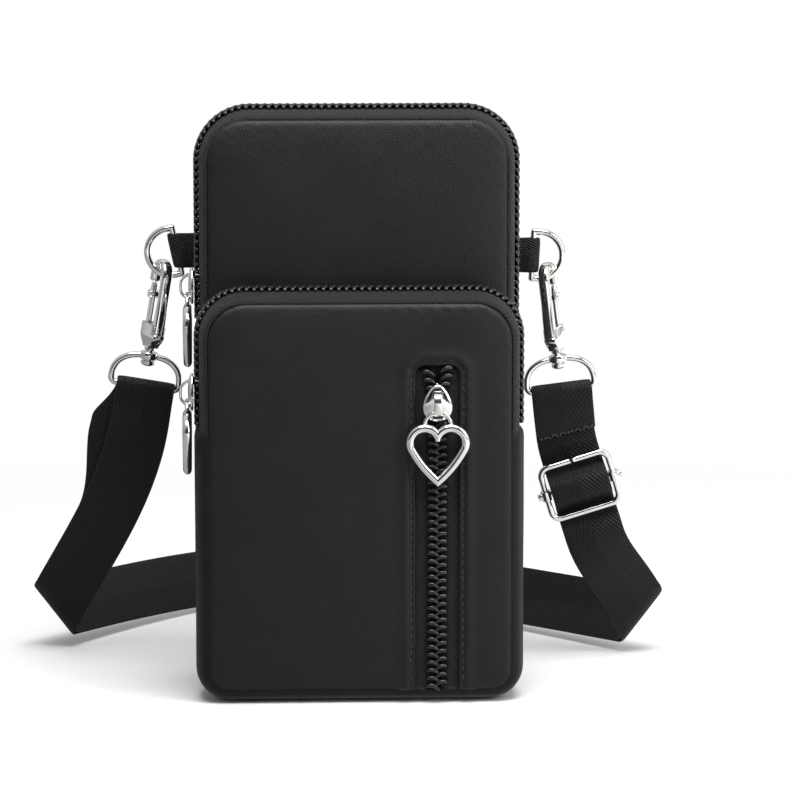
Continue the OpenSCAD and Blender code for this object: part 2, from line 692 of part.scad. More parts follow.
// The gate of a hook, closed: a lever on its pin between the base's ears
module gate() {
    pin_z = -hook_reach - base_h * 0.3;
    w = hook_t / 2 - 4 * turn_gap;
    top = -tip_l - gate_gap;
    difference() {
        union() {
            translate([0, w / 2, 0]) rotate([90, 0, 0]) linear_extrude(w) polygon([
                [eye_mid - hook_bar * 0.45, pin_z], [eye_mid + hook_bar * 0.45, pin_z],
                [eye_mid + hook_bar / 2, top - hook_bar / 2], [eye_mid + hook_bar * 0.3, top],
                [eye_mid - hook_bar * 0.3, top], [eye_mid - hook_bar / 2, top - hook_bar / 2]]);
            translate([eye_mid, w / 2, pin_z]) rotate([90, 0, 0]) cylinder(h = w, r = hook_bar * 0.45);
            translate([eye_mid, 0, top - hook_bar * 1.4]) rotate([90, 0, 0])
                cylinder(h = hook_t * 0.94, r = hook_bar * 0.55, center = true);
        }
        translate([eye_mid, 0, pin_z]) rotate([90, 0, 0])
            cylinder(h = 2 * hook_t, r = gate_pin_r + turn_gap, center = true);
    }
}

// The pin of a gate, pressed into the base's ears
module gate_pin() {
    translate([eye_mid, 0, -hook_reach - base_h * 0.3]) rotate([90, 0, 0])
        cylinder(h = hook_t, r = gate_pin_r, center = true);
}

module on_left_hook() {
    mirror([1, 0, 0]) at_hook(left_tab_z, left_ring_tilt, left_hook_lean)
        rotate([0, 0, 90 - hook_turn]) children();
}

module on_right_hook() {
    at_hook(right_tab_z, right_ring_tilt, right_hook_lean) rotate([0, 0, 90 - hook_turn]) children();
}

module hook_left() { color("#d9d9dc") on_left_hook() hook(); }
module hook_right() { color("#d9d9dc") on_right_hook() hook(); }
module gate_left() { color("#c9c9cd") on_left_hook() gate(); }
module gate_right() { color("#c9c9cd") on_right_hook() gate(); }
module gate_pin_left() { color("#c9c9cd") on_left_hook() gate_pin(); }
module gate_pin_right() { color("#c9c9cd") on_right_hook() gate_pin(); }

// A strap loop in the XZ plane, its hub's middle at the origin and its straight bar below
module strap_loop() {
    r = loop_wire / 2;
    half = loop_w / 2;
    difference() {
        union() {
            cylinder(h = hub_h, r = hub_r, center = true);
            bar([shoulder_r - half, 0, 0], [half - shoulder_r, 0, 0], r);
        }
        cylinder(h = 2 * hub_h, r = swivel_r + turn_gap, center = true);
    }
    for (side = [0, 1]) mirror([side, 0, 0]) {
        translate([half - shoulder_r, 0, -shoulder_r]) rotate([90, 0, 0])
            rotate_extrude(angle = 90) translate([shoulder_r, 0]) circle(r = r);
        bar([half, 0, -loop_h], [half, 0, -shoulder_r], r);
        translate([half, 0, -loop_h]) sphere(r = r);
    }
    bar([-half, 0, -loop_h], [half, 0, -loop_h], r);
}

// Drop directions of the strap, with its width and its face
left_d = unit([-tan(left_lean_out), tan(left_lean_back), -1]);
left_w = unit([-left_d[2], 0, left_d[0]]);
right_d = unit([tan(right_lean_out), tan(right_lean_back), -1]);
right_w = unit([-right_d[2], 0, right_d[0]]);
// At its loops the strap hangs in line with the hooks
left_top_d = unit([-tan(left_hook_lean), tan(left_lean_back) / 3, -1]);
left_top_w = unit([-left_top_d[2], 0, left_top_d[0]]);
top_d = unit([tan(right_hook_lean), tan(right_lean_back) / 3, -1]);
top_w = unit([-top_d[2], 0, top_d[0]]);
rail_d = unit([tan(adjuster_lean), tan(right_lean_back) * 2 / 3, -1]);
rail_w = unit([-rail_d[2], 0, rail_d[0]]);
left_run = [sin(left_heading), cos(left_heading), 0];
right_run = [-sin(right_heading), cos(right_heading), 0];

// Middle of each strap loop's hub, under its hook
hub_drop = hub_top + hub_h / 2;
left_place = eye_place(left_tab_z, left_ring_tilt, left_hook_lean);
left_eye = [-left_place[0], left_place[1], left_place[2]];
right_eye = eye_place(right_tab_z, right_ring_tilt, right_hook_lean);
left_axis = [-sin(left_hook_lean), 0, -cos(left_hook_lean)];
right_axis = [sin(right_hook_lean), 0, -cos(right_hook_lean)];
left_hub = left_eye + left_axis * hub_drop;
right_hub = right_eye + right_axis * hub_drop;
left_bar = left_hub + left_axis * loop_h;
right_bar = right_hub + right_axis * loop_h;

module strap_loop_left() {
    color("#d9d9dc") translate(left_hub) rotate([0, left_hook_lean, 0]) strap_loop();
}

module strap_loop_right() {
    color("#d9d9dc") translate(right_hub) rotate([0, -right_hook_lean, 0]) strap_loop();
}

// The fold of a band going from direction d with width w to direction e.
// It gives the fold's line, its angle, the face's side and the band's width past it.
function fold_of(d, w, e) =
    let (
        n0 = cross(w, d),
        n = n0[1] < 0 ? -n0 : n0,
        k0 = unit(cross(d - e, n)),
        a = unit(d - k0 * (k0 * d)),
        b = unit(e - k0 * (k0 * e)),
        side = cross(a, b) * k0 > 0 ? 1 : -1,
        k = k0 * side,
        angle = acos(a * b))
    [k, angle, n, turned(w, k, angle), a];

// Rings of a band through its fold. Each ring is its two edges and its face's direction.
function fold_rings(o, d, w, fold, steps) =
    let (
        k = fold[0],
        n = fold[2],
        u = fold[4],
        bend_r = fold_r + band_t / 2)
    [for (i = [0 : steps])
        let (
            a = fold[1] * i / steps,
            s = bend_r * a * PI / 180,
            m = o + n * bend_r - turned(n, k, a) * bend_r)
        [for (side = [-1, 1]) m + k * ((side * strap_w / 2 - s * (u * w)) / (k * w))]];

function fold_faces(fold, steps) = [for (i = [0 : steps]) turned(fold[2], fold[0], fold[1] * i / steps)];

// A band through rings of two edges, with the face's direction at each ring
module band(rings, faces, t) {
    n = len(rings);
    points = [for (i = [0 : n - 1]) each [
        rings[i][0] - faces[i] * t / 2, rings[i][1] - faces[i] * t / 2,
        rings[i][1] + faces[i] * t / 2, rings[i][0] + faces[i] * t / 2]];
    walls = [for (i = [0 : n - 2], k = [0 : 3])
        let (a = 4 * i + k, b = 4 * i + (k + 1) % 4)
        each [[a, b, b + 4], [a, b + 4, a + 4]]];
    ends = [[0, 3, 2], [0, 2, 1], [4 * n - 4, 4 * n - 3, 4 * n - 2], [4 * n - 4, 4 * n - 2, 4 * n - 1]];
    polyhedron(points = points, faces = [for (f = concat(walls, ends)) [f[2], f[1], f[0]]]);
}

// The folds at the floor start where they leave the band's middle at its resting height
fold_steps = 8;
left_fold = fold_of(left_d, left_w, left_run);
right_fold = fold_of(right_d, right_w, right_run);

// Middle of a band just past its fold, from the fold's start o
function fold_end(o, d, w, fold) =
    let (
        rings = fold_rings(o, d, w, fold, fold_steps),
        last = rings[fold_steps])
    (last[0] + last[1]) / 2;

// Length of a drop from its start, so that the run's lower edge lies on the floor
function drop_length(start, d, w, fold) =
    let (
        end0 = fold_end(start, d, w, fold),
        half = abs(fold[3][2]) * strap_w / 2 + abs(turned(fold[2], fold[0], fold[1])[2]) * band_t / 2)
    (end0[2] - half) / -d[2];

left_start = left_bar + left_top_d * fold_l;
left_knee = left_start + left_top_d * fold_l / 4;
left_drop_l = drop_length(left_knee, left_d, left_w, left_fold);
left_fold_o = left_knee + left_d * left_drop_l;
left_rings = fold_rings(left_fold_o, left_d, left_w, left_fold, fold_steps);
left_faces = fold_faces(left_fold, fold_steps);

// The right strap runs from its loop to the adjuster, through it, and down to its fold
top_n = cross(top_w, top_d);
rail_n = cross(rail_w, rail_d);
rail_lead = adjuster_h * 0.9;
adjuster_o = right_bar + top_d * (adjuster_drop - rail_lead) + rail_d * rail_lead;
right_start = adjuster_o + rail_d * rail_lead;
right_drop_l = drop_length(right_start, right_d, right_w, right_fold);
right_fold_o = right_start + right_d * right_drop_l;
right_rings = fold_rings(right_fold_o, right_d, right_w, right_fold, fold_steps);
right_faces = fold_faces(right_fold, fold_steps);

// The end of a band that is folded round a loop's bar, with the band's start below it
module bar_fold(o, d, w) {
    n = cross(w, d);
    out = fold_bore + strap_t;
    root = out * 0.9;
    multmatrix(placed(o, w, n, -d)) difference() {
        union() {
            rotate([0, 90, 0]) cylinder(h = strap_w, r = out, center = true);
            translate([strap_w / 2, 0, 0]) rotate([90, 0, -90]) linear_extrude(strap_w) polygon([
                [-root, 0], [root, 0], [band_t / 2, -fold_l], [-band_t / 2, -fold_l]]);
        }
        rotate([0, 90, 0]) cylinder(h = strap_w + 2 * over, r = fold_bore, center = true);
    }
}

// Two edges of a band square across its middle m
function square_ring(m, w) = [m - w * strap_w / 2, m + w * strap_w / 2];

// Two edges of a band at a bend, where the width a turns into the width b
function mitred_ring(m, a, b) =
    let (w = unit(a + b), half = strap_w / 2 / (w * a))
    [m - w * half, m + w * half];

module strap_left_fold() { color("#141416") bar_fold(left_bar, left_top_d, left_top_w); }
module strap_right_fold() { color("#141416") bar_fold(right_bar, top_d, top_w); }

module strap_left_drop() {
    top_n = cross(left_top_w, left_top_d);
    color("#141416") band(
        concat([square_ring(left_start, left_top_w), mitred_ring(left_knee, left_top_w, left_w)], left_rings),
        concat([top_n, unit(top_n + left_faces[0])], left_faces), band_t);
}

// The bow of the strap behind the bag, standing on its edge
bow_steps = 30;
left_mid = (left_rings[fold_steps][0] + left_rings[fold_steps][1]) / 2;
right_mid = (right_rings[fold_steps][0] + right_rings[fold_steps][1]) / 2;

function bow_point(t) =
    let (
        a = left_mid,
        b = left_mid + left_run * bow_reach,
        c = right_mid + right_run * bow_reach,
        d = right_mid)
    a * pow(1 - t, 3) + b * 3 * t * pow(1 - t, 2) + c * 3 * pow(t, 2) * (1 - t) + d * pow(t, 3);

function bow_way(t) = unit(bow_point(t + 0.001) - bow_point(t - 0.001));

// A width direction turned so that it points down
function down(w) = w[2] > 0 ? -w : w;
// Lean of the band's width from upright, which goes out of it towards the middle of the bow
function bow_lean(t) =
    let (k = pow(abs(2 * t - 1), 2))
    down(t < 0.5 ? left_fold[3] : right_fold[3]) * k + [0, 0, k - 1];

module strap_behind() {
    mids = [for (i = [1 : bow_steps - 1])
        let (
            t = i / bow_steps,
            way = bow_way(t),
            lean = bow_lean(t),
            w = unit(lean - way * (lean * way)),
            n = cross(way, w),
            p = bow_point(t),
            high = abs(w[2]) * strap_w / 2 + abs(n[2]) * band_t / 2)
        [square_ring([p[0], p[1], high], w), n]];
    left_n = left_faces[fold_steps];
    right_n = right_faces[fold_steps];
    first = mids[0][1] * left_n > 0 ? 1 : -1;
    flip = mids[bow_steps - 2][1] * right_n * first > 0 ? 1 : -1;
    last = right_rings[fold_steps];
    same = (last[1] - last[0]) * (mids[bow_steps - 2][0][1] - mids[bow_steps - 2][0][0]) > 0;
    color("#141416") band(
        concat([left_rings[fold_steps]], [for (m = mids) m[0]], [same ? last : [last[1], last[0]]]),
        concat([left_n], [for (m = mids) m[1] * first], [right_n * flip]), band_t);
}

// Where the right strap bends below the adjuster
low_ring = mitred_ring(right_start, rail_w, right_w);
low_face = unit(rail_n + right_faces[0]);

module strap_right_drop() {
    color("#141416") band(concat([low_ring], right_rings), concat([low_face], right_faces), band_t);
}

// The strap from the right loop through the adjuster: behind its cross bars and over its middle bar
module strap_right_end() {
    shift = adjuster_wire / 2 + band_t / 2 + seat_gap;
    h = adjuster_h / 2;
    wave_share = [[-1.35, 1], [-0.7, 1], [-0.25, -1], [0.25, -1], [0.7, 1], [1.35, 1]];
    way = [for (k = wave_share) adjuster_o + rail_d * (k[0] * h) + rail_n * (k[1] * shift)];
    rings = concat(
        [square_ring(right_bar + top_d * fold_l, top_w)],
        [mitred_ring(adjuster_o - rail_d * rail_lead, top_w, rail_w)],
        [for (m = way) square_ring(m, rail_w)],
        [low_ring]);
    faces = concat([top_n, unit(top_n + rail_n)], [for (m = way) rail_n], [low_face]);
    color("#141416") band(rings, faces, band_t);
}

// Places a piece of the adjuster, its width along X and the strap running down Z
module at_adjuster() {
    multmatrix(placed(adjuster_o, rail_w, rail_n, -rail_d)) children();
}

// The adjuster's frame: two rails and two cross bars with round corners
module adjuster_frame() {
    r = adjuster_wire / 2;
    x = adjuster_w / 2;
    z = adjuster_h / 2;
    color("#d9d9dc") at_adjuster() for (side = [-1, 1]) {
        bar([side * x, 0, -z + r], [side * x, 0, z - r], r);
        bar([-x + r, 0, side * z], [x - r, 0, side * z], r);
        for (end = [-1, 1]) translate([side * (x - r), 0, end * (z - r)]) rotate([90, 0, 0])
            rotate([0, 0, atan2(end, side) - 45]) rotate_extrude(angle = 90) translate([r, 0]) circle(r = r);
    }
}

// The sliding middle bar with a collar on each rail
module adjuster_bar() {
    r = adjuster_wire / 2;
    x = adjuster_w / 2;
    color("#d9d9dc") at_adjuster() difference() {
        union() {
            bar([-x, 0, 0], [x, 0, 0], r);
            for (side = [-1, 1]) {
                translate([side * x, 0, 0]) cylinder(h = 2 * collar_r, r = collar_r, center = true);
                bar([side * x, 0, 0], [side * (x + collar_r + r), 0, 0], r * 0.8);
            }
        }
        for (side = [-1, 1]) translate([side * x, 0, 0])
            cylinder(h = adjuster_h, r = r + turn_gap, center = true);
    }
}

back_panel();
back_foam();
back_lining();
middle_panel();
middle_foam();
middle_lining();
front_panel();
front_foam();
front_lining();
pocket_bag();
main_gusset();
main_zip_tape_front();
main_zip_tape_rear();
main_zip_coil_front();
main_zip_coil_rear();
front_gusset();
front_zip_tape_front();
front_zip_tape_rear();
front_zip_coil_front();
front_zip_coil_rear();
main_slider();
main_pull();
front_slider();
front_pull();
pocket_zip_tape_left();
pocket_zip_tape_right();
pocket_zip_coil_left();
pocket_zip_coil_right();
pocket_slider();
pocket_pull();
tab_left();
tab_right();
ring_left();
ring_right();
hook_left();
hook_right();
gate_left();
gate_right();
gate_pin_left();
gate_pin_right();
strap_loop_left();
strap_loop_right();
strap_left_fold();
strap_left_drop();
strap_behind();
strap_right_drop();
strap_right_end();
strap_right_fold();
adjuster_frame();
adjuster_bar();
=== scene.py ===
import math
import bpy
import numpy as np
from mathutils import Matrix


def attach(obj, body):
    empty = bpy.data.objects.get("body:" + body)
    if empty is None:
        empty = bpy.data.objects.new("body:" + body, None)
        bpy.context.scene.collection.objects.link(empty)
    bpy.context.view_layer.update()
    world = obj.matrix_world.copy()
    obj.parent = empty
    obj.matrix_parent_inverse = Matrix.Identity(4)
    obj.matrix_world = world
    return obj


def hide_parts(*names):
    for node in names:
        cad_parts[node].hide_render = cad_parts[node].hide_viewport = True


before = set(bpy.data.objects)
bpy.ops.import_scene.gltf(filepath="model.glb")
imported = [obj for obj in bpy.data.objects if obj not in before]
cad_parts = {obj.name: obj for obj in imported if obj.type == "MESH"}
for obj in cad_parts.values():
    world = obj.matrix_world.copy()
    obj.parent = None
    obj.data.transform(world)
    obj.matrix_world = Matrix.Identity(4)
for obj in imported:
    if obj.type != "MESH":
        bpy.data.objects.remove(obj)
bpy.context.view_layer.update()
print("frame loaded")

# Sizes are in millimetres here and metres in the meshes
mm = 0.001
bag = {
    "width": 104, "height": 187, "frontHeight": 131.5, "rise": 4, "mainHalf": 12.3, "frontHalf": 10.35,
    "frontMid": -25.55, "faceFront": -38.8, "faceMiddle": -15.2, "faceBack": 15.2, "bottomRadius": 10.5,
    "mainZipEnd": 118, "frontZipEnd": 87, "mainZipY": -2.6,
}


# A direction or rows of directions of length one
def unit(v):
    v = np.asarray(v, float)
    return v / np.linalg.norm(v, axis=-1, keepdims=True)


# Smooth step from 0 at a to 1 at b
def ramp(x, a, b):
    t = np.clip((x - a) / (b - a), 0, 1)
    return t * t * (3 - 2 * t)


# Slow waves: the sum of a few sines of the two coordinates, with amplitude about one
def waves(x, z, size, phase=0.0):
    a = np.sin(x / size * 1.0 + phase) * np.sin(z / size * 0.83 + 1.7 * phase)
    b = np.sin((x * 0.6 + z) / size * 0.61 + 2.1 + phase)
    c = np.sin((x - 0.45 * z) / size * 1.43 + 0.6 - phase)
    return 0.5 * a + 0.3 * b + 0.2 * c


# Quads of a grid of rows by columns, either way closed on itself
def gridFaces(rows, cols, closeRows=False, closeCols=False):
    i = np.arange(rows if closeRows else rows - 1)
    j = np.arange(cols if closeCols else cols - 1)
    i, j = [a.ravel() for a in np.meshgrid(i, j, indexing="ij")]
    i2, j2 = (i + 1) % rows, (j + 1) % cols
    return np.stack([i * cols + j, i * cols + j2, i2 * cols + j2, i2 * cols + j], axis=1)


# A mesh object from millimetre points and quads, with a real-size UV map in metres
def makePiece(name, points, quads, uvs=None, sharpAngle=None, extra=None):
    points = np.asarray(points, float).reshape(-1, 3) * mm
    faces = [np.asarray(quads)]
    if extra is not None:
        faces += [np.asarray([e]) for e in extra]
    loops = np.concatenate([f.ravel() for f in faces]).astype(np.int32)
    totals = np.concatenate([np.full(len(f), f.shape[1]) for f in faces]).astype(np.int32)
    starts = np.concatenate([[0], np.cumsum(totals)[:-1]]).astype(np.int32)
    mesh = bpy.data.meshes.new(name)
    mesh.vertices.add(len(points))
    mesh.vertices.foreach_set("co", points.astype(np.float32).ravel())
    mesh.loops.add(len(loops))
    mesh.loops.foreach_set("vertex_index", loops)
    mesh.polygons.add(len(totals))
    mesh.polygons.foreach_set("loop_start", starts)
    mesh.polygons.foreach_set("loop_total", totals)
    mesh.update(calc_edges=True)
    layer = mesh.uv_layers.new(name="UVMap")
    flat = np.asarray(uvs, float).reshape(-1, 2) * mm if uvs is not None else points[:, [0, 2]]
    layer.data.foreach_set("uv", flat[loops].astype(np.float32).ravel())
    mesh.polygons.foreach_set("use_smooth", np.ones(len(totals), bool))
    if sharpAngle:
        mesh.set_sharp_from_angle(angle=math.radians(sharpAngle))
    mesh.validate()
    piece = bpy.data.objects.new(name, mesh)
    bpy.context.scene.collection.objects.link(piece)
    return piece


# Turns all faces of a closed piece outwards, by the sign of its volume
def faceOut(piece):
    mesh = piece.data
    mesh.calc_loop_triangles()
    n = len(mesh.loop_triangles)
    tri = np.empty(n * 3, np.int32)
    mesh.loop_triangles.foreach_get("vertices", tri)
    co = np.empty(len(mesh.vertices) * 3, np.float32)
    mesh.vertices.foreach_get("co", co)
    p = co.reshape(-1, 3)[tri.reshape(-1, 3)]
    volume = np.einsum("ij,ij->i", p[:, 0], np.cross(p[:, 1], p[:, 2])).sum()
    if volume < 0:
        mesh.flip_normals()
    return piece


# Rings of a tube: the path's points plus its two cross directions times a closed section of points
def sweep(name, path, side, up, section, closed=False, uvAlong=None, sharpAngle=None):
    path, side, up = [np.asarray(a, float) for a in (path, side, up)]
    section = np.asarray(section, float)
    if section.ndim == 2:
        section = np.repeat(section[None], len(path), axis=0)
    points = path[:, None] + side[:, None] * section[..., :1] + up[:, None] * section[..., 1:2]
    rows, cols = points.shape[:2]
    quads = gridFaces(rows, cols, closed, True)
    step = np.linalg.norm(np.diff(path, axis=0), axis=1)
    along = np.concatenate([[0], np.cumsum(step)]) if uvAlong is None else uvAlong
    across = section[0, :, 0]
    uvs = np.stack(np.broadcast_arrays(along[:, None], across[None]), axis=-1)
    extra = None if closed else [list(range(cols)), list(range((rows - 1) * cols, rows * cols))[::-1]]
    return faceOut(makePiece(name, points, quads, uvs, sharpAngle=sharpAngle, extra=extra))


# The power of a number's size, with the number's sign kept
def signed(v, power):
    return np.sign(v) * np.abs(v) ** power


# A section with round corners: a superellipse of half sizes a and b
def roundSection(a, b, power=2.0, count=20):
    t = np.arange(count) * 2 * np.pi / count
    return np.stack([a * signed(np.cos(t), 2 / power), b * signed(np.sin(t), 2 / power)], axis=1)


# A webbing's section: almost a rectangle, with rounded edges
def bandSection(a, b, count=22):
    t = np.arange(count) * 2 * math.pi / count
    return np.stack([a * signed(np.cos(t), 0.34), b * signed(np.sin(t), 0.75)], axis=1)


# A closed piece from two grids of points, one behind the other, joined round their rim
def slab(name, near, far):
    rows, cols = near.shape[:2]
    n = rows * cols
    idx = np.arange(n).reshape(rows, cols)
    rim = np.concatenate([idx[0], idx[1:, -1], idx[-1, ::-1][1:], idx[::-1, 0][1:-1]])
    ahead = np.roll(rim, -1)
    grid = gridFaces(rows, cols)
    quads = np.concatenate([grid, grid[:, ::-1] + n, np.stack([rim + n, ahead + n, ahead, rim], axis=1)])
    return faceOut(makePiece(name, np.concatenate([near.reshape(-1, 3), far.reshape(-1, 3)]), quads))


# What every finished piece gets: its finish, its body and the CAD nodes it stands for
def finishPiece(piece, material, body, nodes):
    piece.data.materials.clear()
    for m in material if isinstance(material, (list, tuple)) else [material]:
        piece.data.materials.append(m)
    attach(piece, body)
    if nodes:
        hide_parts(*nodes)
    return piece


# A piece of bright plate
def plated(piece, body, *nodes):
    return finishPiece(piece, metal, body, nodes)


# Shader maths: a socket with the usual operators
class Value:
    def __init__(self, tree, socket):
        self.tree, self.socket = tree, socket

    def make(self, operation, *others, swap=False):
        values = [self, *others]
        if swap:
            values = values[::-1]
        node = self.tree.node("ShaderNodeMath", {"operation": operation}, dict(enumerate(values)))
        return Value(self.tree, node.outputs[0])

    def __add__(self, o): return self.make("ADD", o)
    def __radd__(self, o): return self.make("ADD", o)
    def __sub__(self, o): return self.make("SUBTRACT", o)
    def __rsub__(self, o): return self.make("SUBTRACT", o, swap=True)
    def __mul__(self, o): return self.make("MULTIPLY", o)
    def __rmul__(self, o): return self.make("MULTIPLY", o)
    def __truediv__(self, o): return self.make("DIVIDE", o)
    def __pow__(self, o): return self.make("POWER", o)
    def sin(self): return self.make("SINE")
    def abs(self): return self.make("ABSOLUTE")
    def fract(self): return self.make("FRACT")
    def clamp(self): return self.make("MAXIMUM", 0.0).make("MINIMUM", 1.0)
    def over(self, edge, soft): return ((self - edge) / soft).clamp()


# A node tree that is built from code
class Nodes:
    def __init__(self, tree):
        self.tree = tree

    def node(self, kind, settings=None, inputs=None):
        made = self.tree.nodes.new(kind)
        for key, value in (settings or {}).items():
            setattr(made, key, value)
        for key, value in (inputs or {}).items():
            if isinstance(value, (Value, bpy.types.NodeSocket)):
                self.tree.links.new(getattr(value, "socket", value), made.inputs[key])
            else:
                made.inputs[key].default_value = value
        return made

    # The parts of a vector
    def parts(self, vector):
        return [Value(self, o) for o in self.node("ShaderNodeSeparateXYZ", None, {0: vector}).outputs]


# A material under construction
class Finish(Nodes):
    def __init__(self, name, **constants):
        self.material = bpy.data.materials.new(name)
        self.material.use_nodes = True
        super().__init__(self.material.node_tree)
        self.shader = self.tree.nodes["Principled BSDF"]
        for key, value in constants.items():
            self.shader.inputs[key.replace("_", " ")].default_value = value

    def uv(self):
        return self.parts(self.node("ShaderNodeUVMap", {"uv_map": "UVMap"}).outputs[0])[:2]

    def noise(self, size, detail=2.0, roughness=0.5):
        place = self.node("ShaderNodeTexCoord").outputs["Object"]
        inputs = {"Vector": place, "Scale": 1 / (size * mm), "Detail": detail, "Roughness": roughness}
        made = self.node("ShaderNodeTexNoise", None, inputs)
        return Value(self, made.outputs[0])

    def set(self, key, value):
        self.tree.links.new(getattr(value, "socket", value), self.shader.inputs[key])

    # Waves of the given length along a value, from 0 to 1
    def ribs(self, along, size):
        return (along * (2 * math.pi / (size * mm))).sin() * 0.5 + 0.5

    def bump(self, height, distance, strength=1.0):
        inputs = {"Strength": strength, "Distance": distance * mm, "Height": height}
        made = self.node("ShaderNodeBump", None, inputs)
        self.set("Normal", made.outputs[0])

    def tint(self, mask, low, high):
        inputs = {"Factor": mask, 6: (*low, 1), 7: (*high, 1)}
        made = self.node("ShaderNodeMix", {"data_type": "RGBA"}, inputs)
        self.set("Base Color", made.outputs[2])


# Satin nylon: a fine diagonal twill with slow changes of sheen
nylonLook = {
    "dark": (0.0040, 0.0038, 0.0046), "light": (0.0095, 0.0092, 0.0106), "twill": 0.95, "yarn": 0.76,
    "rough": 0.44, "shine": 0.32,
}


def nylonFinish(name, look):
    f = Finish(name, Specular_IOR_Level=look["shine"], Sheen_Weight=0.02, Sheen_Roughness=0.4)
    u, v = f.uv()
    cloth = f.ribs(u * 0.8 + v, look["twill"]) * 0.7 + f.ribs(u - v * 0.6, look["yarn"]) * 0.3
    slow = f.noise(14, 3.0)
    f.tint((cloth * 0.6 + slow * 0.5).clamp(), look["dark"], look["light"])
    f.set("Roughness", look["rough"] + slow * 0.16 - cloth * 0.05)
    f.bump(cloth + f.noise(0.9, 2.0) * 0.7, 0.09, 0.9)
    return f.material


# Zip tape: matt fine herringbone
tapeLook = {"dark": (0.005, 0.005, 0.006), "light": (0.018, 0.0175, 0.0195), "band": 1.6, "rib": 0.8}


def tapeFinish():
    f = Finish("zipTape", Specular_IOR_Level=0.25, Sheen_Weight=0.04)
    u, v = f.uv()
    fold = ((v * (1 / (tapeLook["band"] * mm))).fract() - 0.5).abs()
    rib = ((u * (1 / (tapeLook["rib"] * mm)) + fold * 2.0) * (2 * math.pi)).sin() * 0.5 + 0.5
    grain = f.noise(1.1, 3.0, 0.7)
    f.tint((rib * 0.35 + (grain - 0.35) * 1.6).clamp(), tapeLook["dark"], tapeLook["light"])
    f.set("Roughness", 0.62 + grain * 0.2 - rib * 0.1)
    f.bump(rib * 0.5 + grain * 0.9, 0.34, 1.0)
    return f.material


# Webbing: a chevron twill whose ribs meet on the middle line, crossed by the weft
webLook = {
    "rib": 1.9, "slope": 2.3, "weft": 0.62, "warp": 0.9, "dark": (0.0035, 0.0035, 0.004),
    "light": (0.0115, 0.0113, 0.0128),
}


def webbingFinish():
    f = Finish("webbing", Specular_IOR_Level=0.22, Sheen_Weight=0.02)
    u, v = f.uv()
    fold = v.abs() * webLook["slope"]
    rib, weft = f.ribs(u + fold, webLook["rib"]), f.ribs(u - fold * 0.35, webLook["weft"])
    warp = f.ribs(v, webLook["warp"])
    grain = f.noise(0.6, 2.0)
    height = rib * 0.65 + rib * warp * 0.35 + weft * 0.15
    f.tint((height * 0.8 + grain * 0.3).clamp(), webLook["dark"], webLook["light"])
    f.set("Roughness", 0.5 + grain * 0.2 - rib * 0.08)
    f.bump(height + grain * 0.25, 0.22, 1.0)
    return f.material


# Bright plate with faint polishing marks
def metalFinish():
    f = Finish("brightPlate", Metallic=1.0)
    slow = f.noise(3.0, 3.0)
    fine = f.noise(0.35, 2.0)
    f.tint(slow, (0.80, 0.785, 0.765), (0.92, 0.905, 0.885))
    f.set("Roughness", 0.04 + slow * 0.06 + fine * 0.03)
    f.bump(slow * 0.6 + fine * 0.3, 0.03, 0.35)
    return f.material


def plainFinish(name, low, high, rough, size, depth, **constants):
    f = Finish(name, **constants)
    grain = f.noise(size, 3.0)
    f.tint(grain, low, high)
    f.set("Roughness", rough + grain * 0.15)
    f.bump(grain, depth, 0.6)
    return f.material


nylon = nylonFinish("nylon", nylonLook)
gussetNylon = nylonFinish("gussetNylon", {**nylonLook, "rough": 0.5, "shine": 0.2})
tapeCloth = tapeFinish()
webbing = webbingFinish()
metal = metalFinish()
coilPlastic = plainFinish("coilPlastic", (0.004, 0.004, 0.005), (0.012, 0.012, 0.014), 0.2, 0.6, 0.02,
                          Specular_IOR_Level=0.6)
thread = plainFinish("thread", (0.008, 0.008, 0.009), (0.035, 0.034, 0.037), 0.5, 0.25, 0.03)
lining = plainFinish("lining", (0.020, 0.020, 0.023), (0.034, 0.034, 0.038), 0.5, 0.8, 0.04)
print("finishes made")


# Distance in from the edge of a panel that is w wide and runs from z low to high, with its corner radii
def edgeDistance(x, z, w, low, high, rLow, rHigh):
    mid = (low + high) / 2
    r = np.where(z > mid, rHigh, rLow)
    qx = np.abs(x) - (w / 2 - r)
    qz = np.abs(z - mid) - ((high - low) / 2 - r)
    outside = np.hypot(np.maximum(qx, 0), np.maximum(qz, 0))
    return r - outside - np.minimum(np.maximum(qx, qz), 0)


pocket = {
    "x": 24, "low": 4.6, "high": 107.6, "half": 6.75, "stitchOut": 1.5, "stitchTop": 1.7, "sink": 3.4,
    "tapeY": -38.2, "pitch": 2.5, "sliderZ": 96.1, "corner": 2.6,
}


# Distance out from the pocket's opening, whose top corners are round
def pocketDistance(x, z):
    qx = np.abs(x - pocket["x"]) - pocket["half"] + pocket["corner"]
    qz = z - pocket["high"] + pocket["corner"]
    outside, inside = np.hypot(np.maximum(qx, 0), np.maximum(qz, 0)), np.minimum(np.maximum(qx, qz), 0)
    return outside + inside - pocket["corner"]


# A panel's places along one half side: dense at the edge, then even up to the end
def edgeStops(count, reach, start, end, step):
    return np.concatenate([np.linspace(0, 1, count) ** 1.6 * reach, np.arange(start, end, step)])


# Some places with a finer run of them from low to high, round the pocket's opening
def refined(places, low, high, run):
    places = places[(places < low) | (places > high)]
    return np.concatenate([places, run])


# How much the panel's face stands out at a distance s from the pocket's opening: a lip, less at the stitches
def pocketLip(s, z):
    lip = 0.55 * np.exp(-((s - pocket["stitchOut"]) / 0.55) ** 2) - 0.75 * np.exp(-((s - 2.8) / 2.2) ** 2)
    return lip + 0.10 * np.sin(z * 1.9) * np.exp(-((s - 2.2) / 1.2) ** 2)


